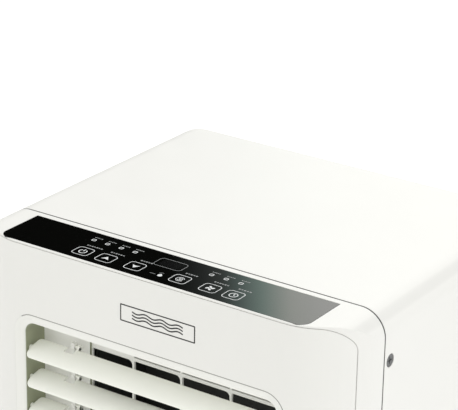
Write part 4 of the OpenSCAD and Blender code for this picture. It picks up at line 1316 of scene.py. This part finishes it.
class COOLER_OT_stage(Operator):
    """Pale floor, even studio light and the camera"""

    bl_idname = "cooler.stage"
    bl_label = "Stage"

    def execute(self, context):
        look = context.scene.cooler_stage
        scene = context.scene
        world = bpy.data.worlds.new("Studio")
        world.use_nodes = True
        sky = world.node_tree.nodes["Background"]
        nodes, links = world.node_tree.nodes, world.node_tree.links
        # What the camera sees behind the object stays white, whatever the room light's strength
        path = add(nodes, "LightPath")
        seen = add(nodes, "MapRange", To_Min=look.sky, To_Max=1.5 * look.sky)
        links.new(path.outputs["Is Camera Ray"], seen.inputs["Value"])
        links.new(seen.outputs["Result"], sky.inputs["Strength"])
        spot, split = add(nodes, "TexCoord"), add(nodes, "SeparateXYZ")
        turn = add(nodes, "MapRange", From_Min=-1.0)
        ramp = ramp_through(nodes, [(0.0, (0.81, 0.81, 0.775)), (0.6, (1.0, 1.0, 1.0))])
        links.new(spot.outputs["Generated"], split.inputs["Vector"])
        links.new(split.outputs["Y"], turn.inputs["Value"])
        links.new(turn.outputs["Result"], ramp.inputs["Fac"])
        links.new(ramp.outputs["Color"], sky.inputs["Color"])
        scene.world = world
        scene.view_settings.view_transform = "Standard"
        reach = 30.0
        corners = [(-reach, -reach, 0), (reach, -reach, 0), (reach, reach, 0), (-reach, reach, 0)]
        floor_mesh = bpy.data.meshes.new("floor")
        floor_mesh.from_pydata(corners, [], [(0, 1, 2, 3)])
        floor = bpy.data.objects.new("floor", floor_mesh)
        scene.collection.objects.link(floor)
        material, nodes, links, surface = shader("Pale floor", (0.9, 0.9, 0.9), 0.9)
        surface.inputs["Specular IOR Level"].default_value = 0.1
        surface.inputs["Emission Color"].default_value = (1.0, 1.0, 1.0, 1.0)
        surface.inputs["Emission Strength"].default_value = 0.25
        mottle(nodes, links, surface, (0.9, 0.9, 0.9), 3.0, 0.01)
        floor_mesh.materials.append(material)
        area_light("overhead", (-0.2, 0.3, 2.9), (0, 0, 0.6), (2.6, 2.6), 18.2)
        area_light("front_left", (-1.9, -2.2, 1.7), (0, 0, 0.5), (1.6, 2.0), 1.5, (1.0, 0.99, 0.95))
        area_light("right", (2.4, -0.6, 1.5), (0, 0, 0.5), (1.6, 2.0), 5.6)
        reflected_card()
        camera_data = bpy.data.cameras.new("camera")
        camera_data.lens = look.lens_mm
        camera_data.sensor_width = 36.0
        camera_data.sensor_fit = "HORIZONTAL"
        camera = bpy.data.objects.new("camera", camera_data)
        turn = (CAMERA_AIM - CAMERA_AT).to_track_quat("-Z", "Y").to_matrix().to_4x4()
        camera.matrix_world = Matrix.Translation(CAMERA_AT) @ turn @ Matrix.Rotation(CAMERA_ROLL, 4, "Z")
        scene.collection.objects.link(camera)
        scene.camera = camera
        return {"FINISHED"}


# ---------- panel and registration ----------

STEPS = (
    COOLER_OT_front_frame, COOLER_OT_front_panel, COOLER_OT_rear_housing, COOLER_OT_control_panel,
    COOLER_OT_badge, COOLER_OT_outlet, COOLER_OT_blades, COOLER_OT_back_cover, COOLER_OT_back_fittings,
    COOLER_OT_casters, COOLER_OT_inside, COOLER_OT_stage,
)
GROUPS = {
    "cooler_cabinet": CoolerCabinet, "cooler_panel": CoolerPanel,
    "cooler_outlet": CoolerOutlet, "cooler_stage": CoolerStage,
}


class COOLER_PT_sidebar(Panel):
    """Settings and steps of the portable air conditioner"""

    bl_idname = "COOLER_PT_sidebar"
    bl_label = "Portable air conditioner"
    bl_space_type = "VIEW_3D"
    bl_region_type = "UI"
    bl_category = "Cooler"

    def draw(self, context):
        for name in GROUPS:
            group = getattr(context.scene, name)
            box = self.layout.box()
            for key in group.__annotations__:
                box.prop(group, key)
        for step in STEPS:
            self.layout.operator(step.bl_idname)


def register():
    for name, group in GROUPS.items():
        bpy.utils.register_class(group)
        setattr(bpy.types.Scene, name, PointerProperty(type=group))
    for step in STEPS:
        bpy.utils.register_class(step)
    bpy.utils.register_class(COOLER_PT_sidebar)


def unregister():
    bpy.utils.unregister_class(COOLER_PT_sidebar)
    for step in reversed(STEPS):
        bpy.utils.unregister_class(step)
    for name, group in GROUPS.items():
        delattr(bpy.types.Scene, name)
        bpy.utils.unregister_class(group)


def main():
    register()
    FINISH.update(finishes(bpy.context))
    for step in STEPS:
        getattr(bpy.ops.cooler, step.bl_idname.split(".")[1])()


if __name__ == "__main__":
    main()
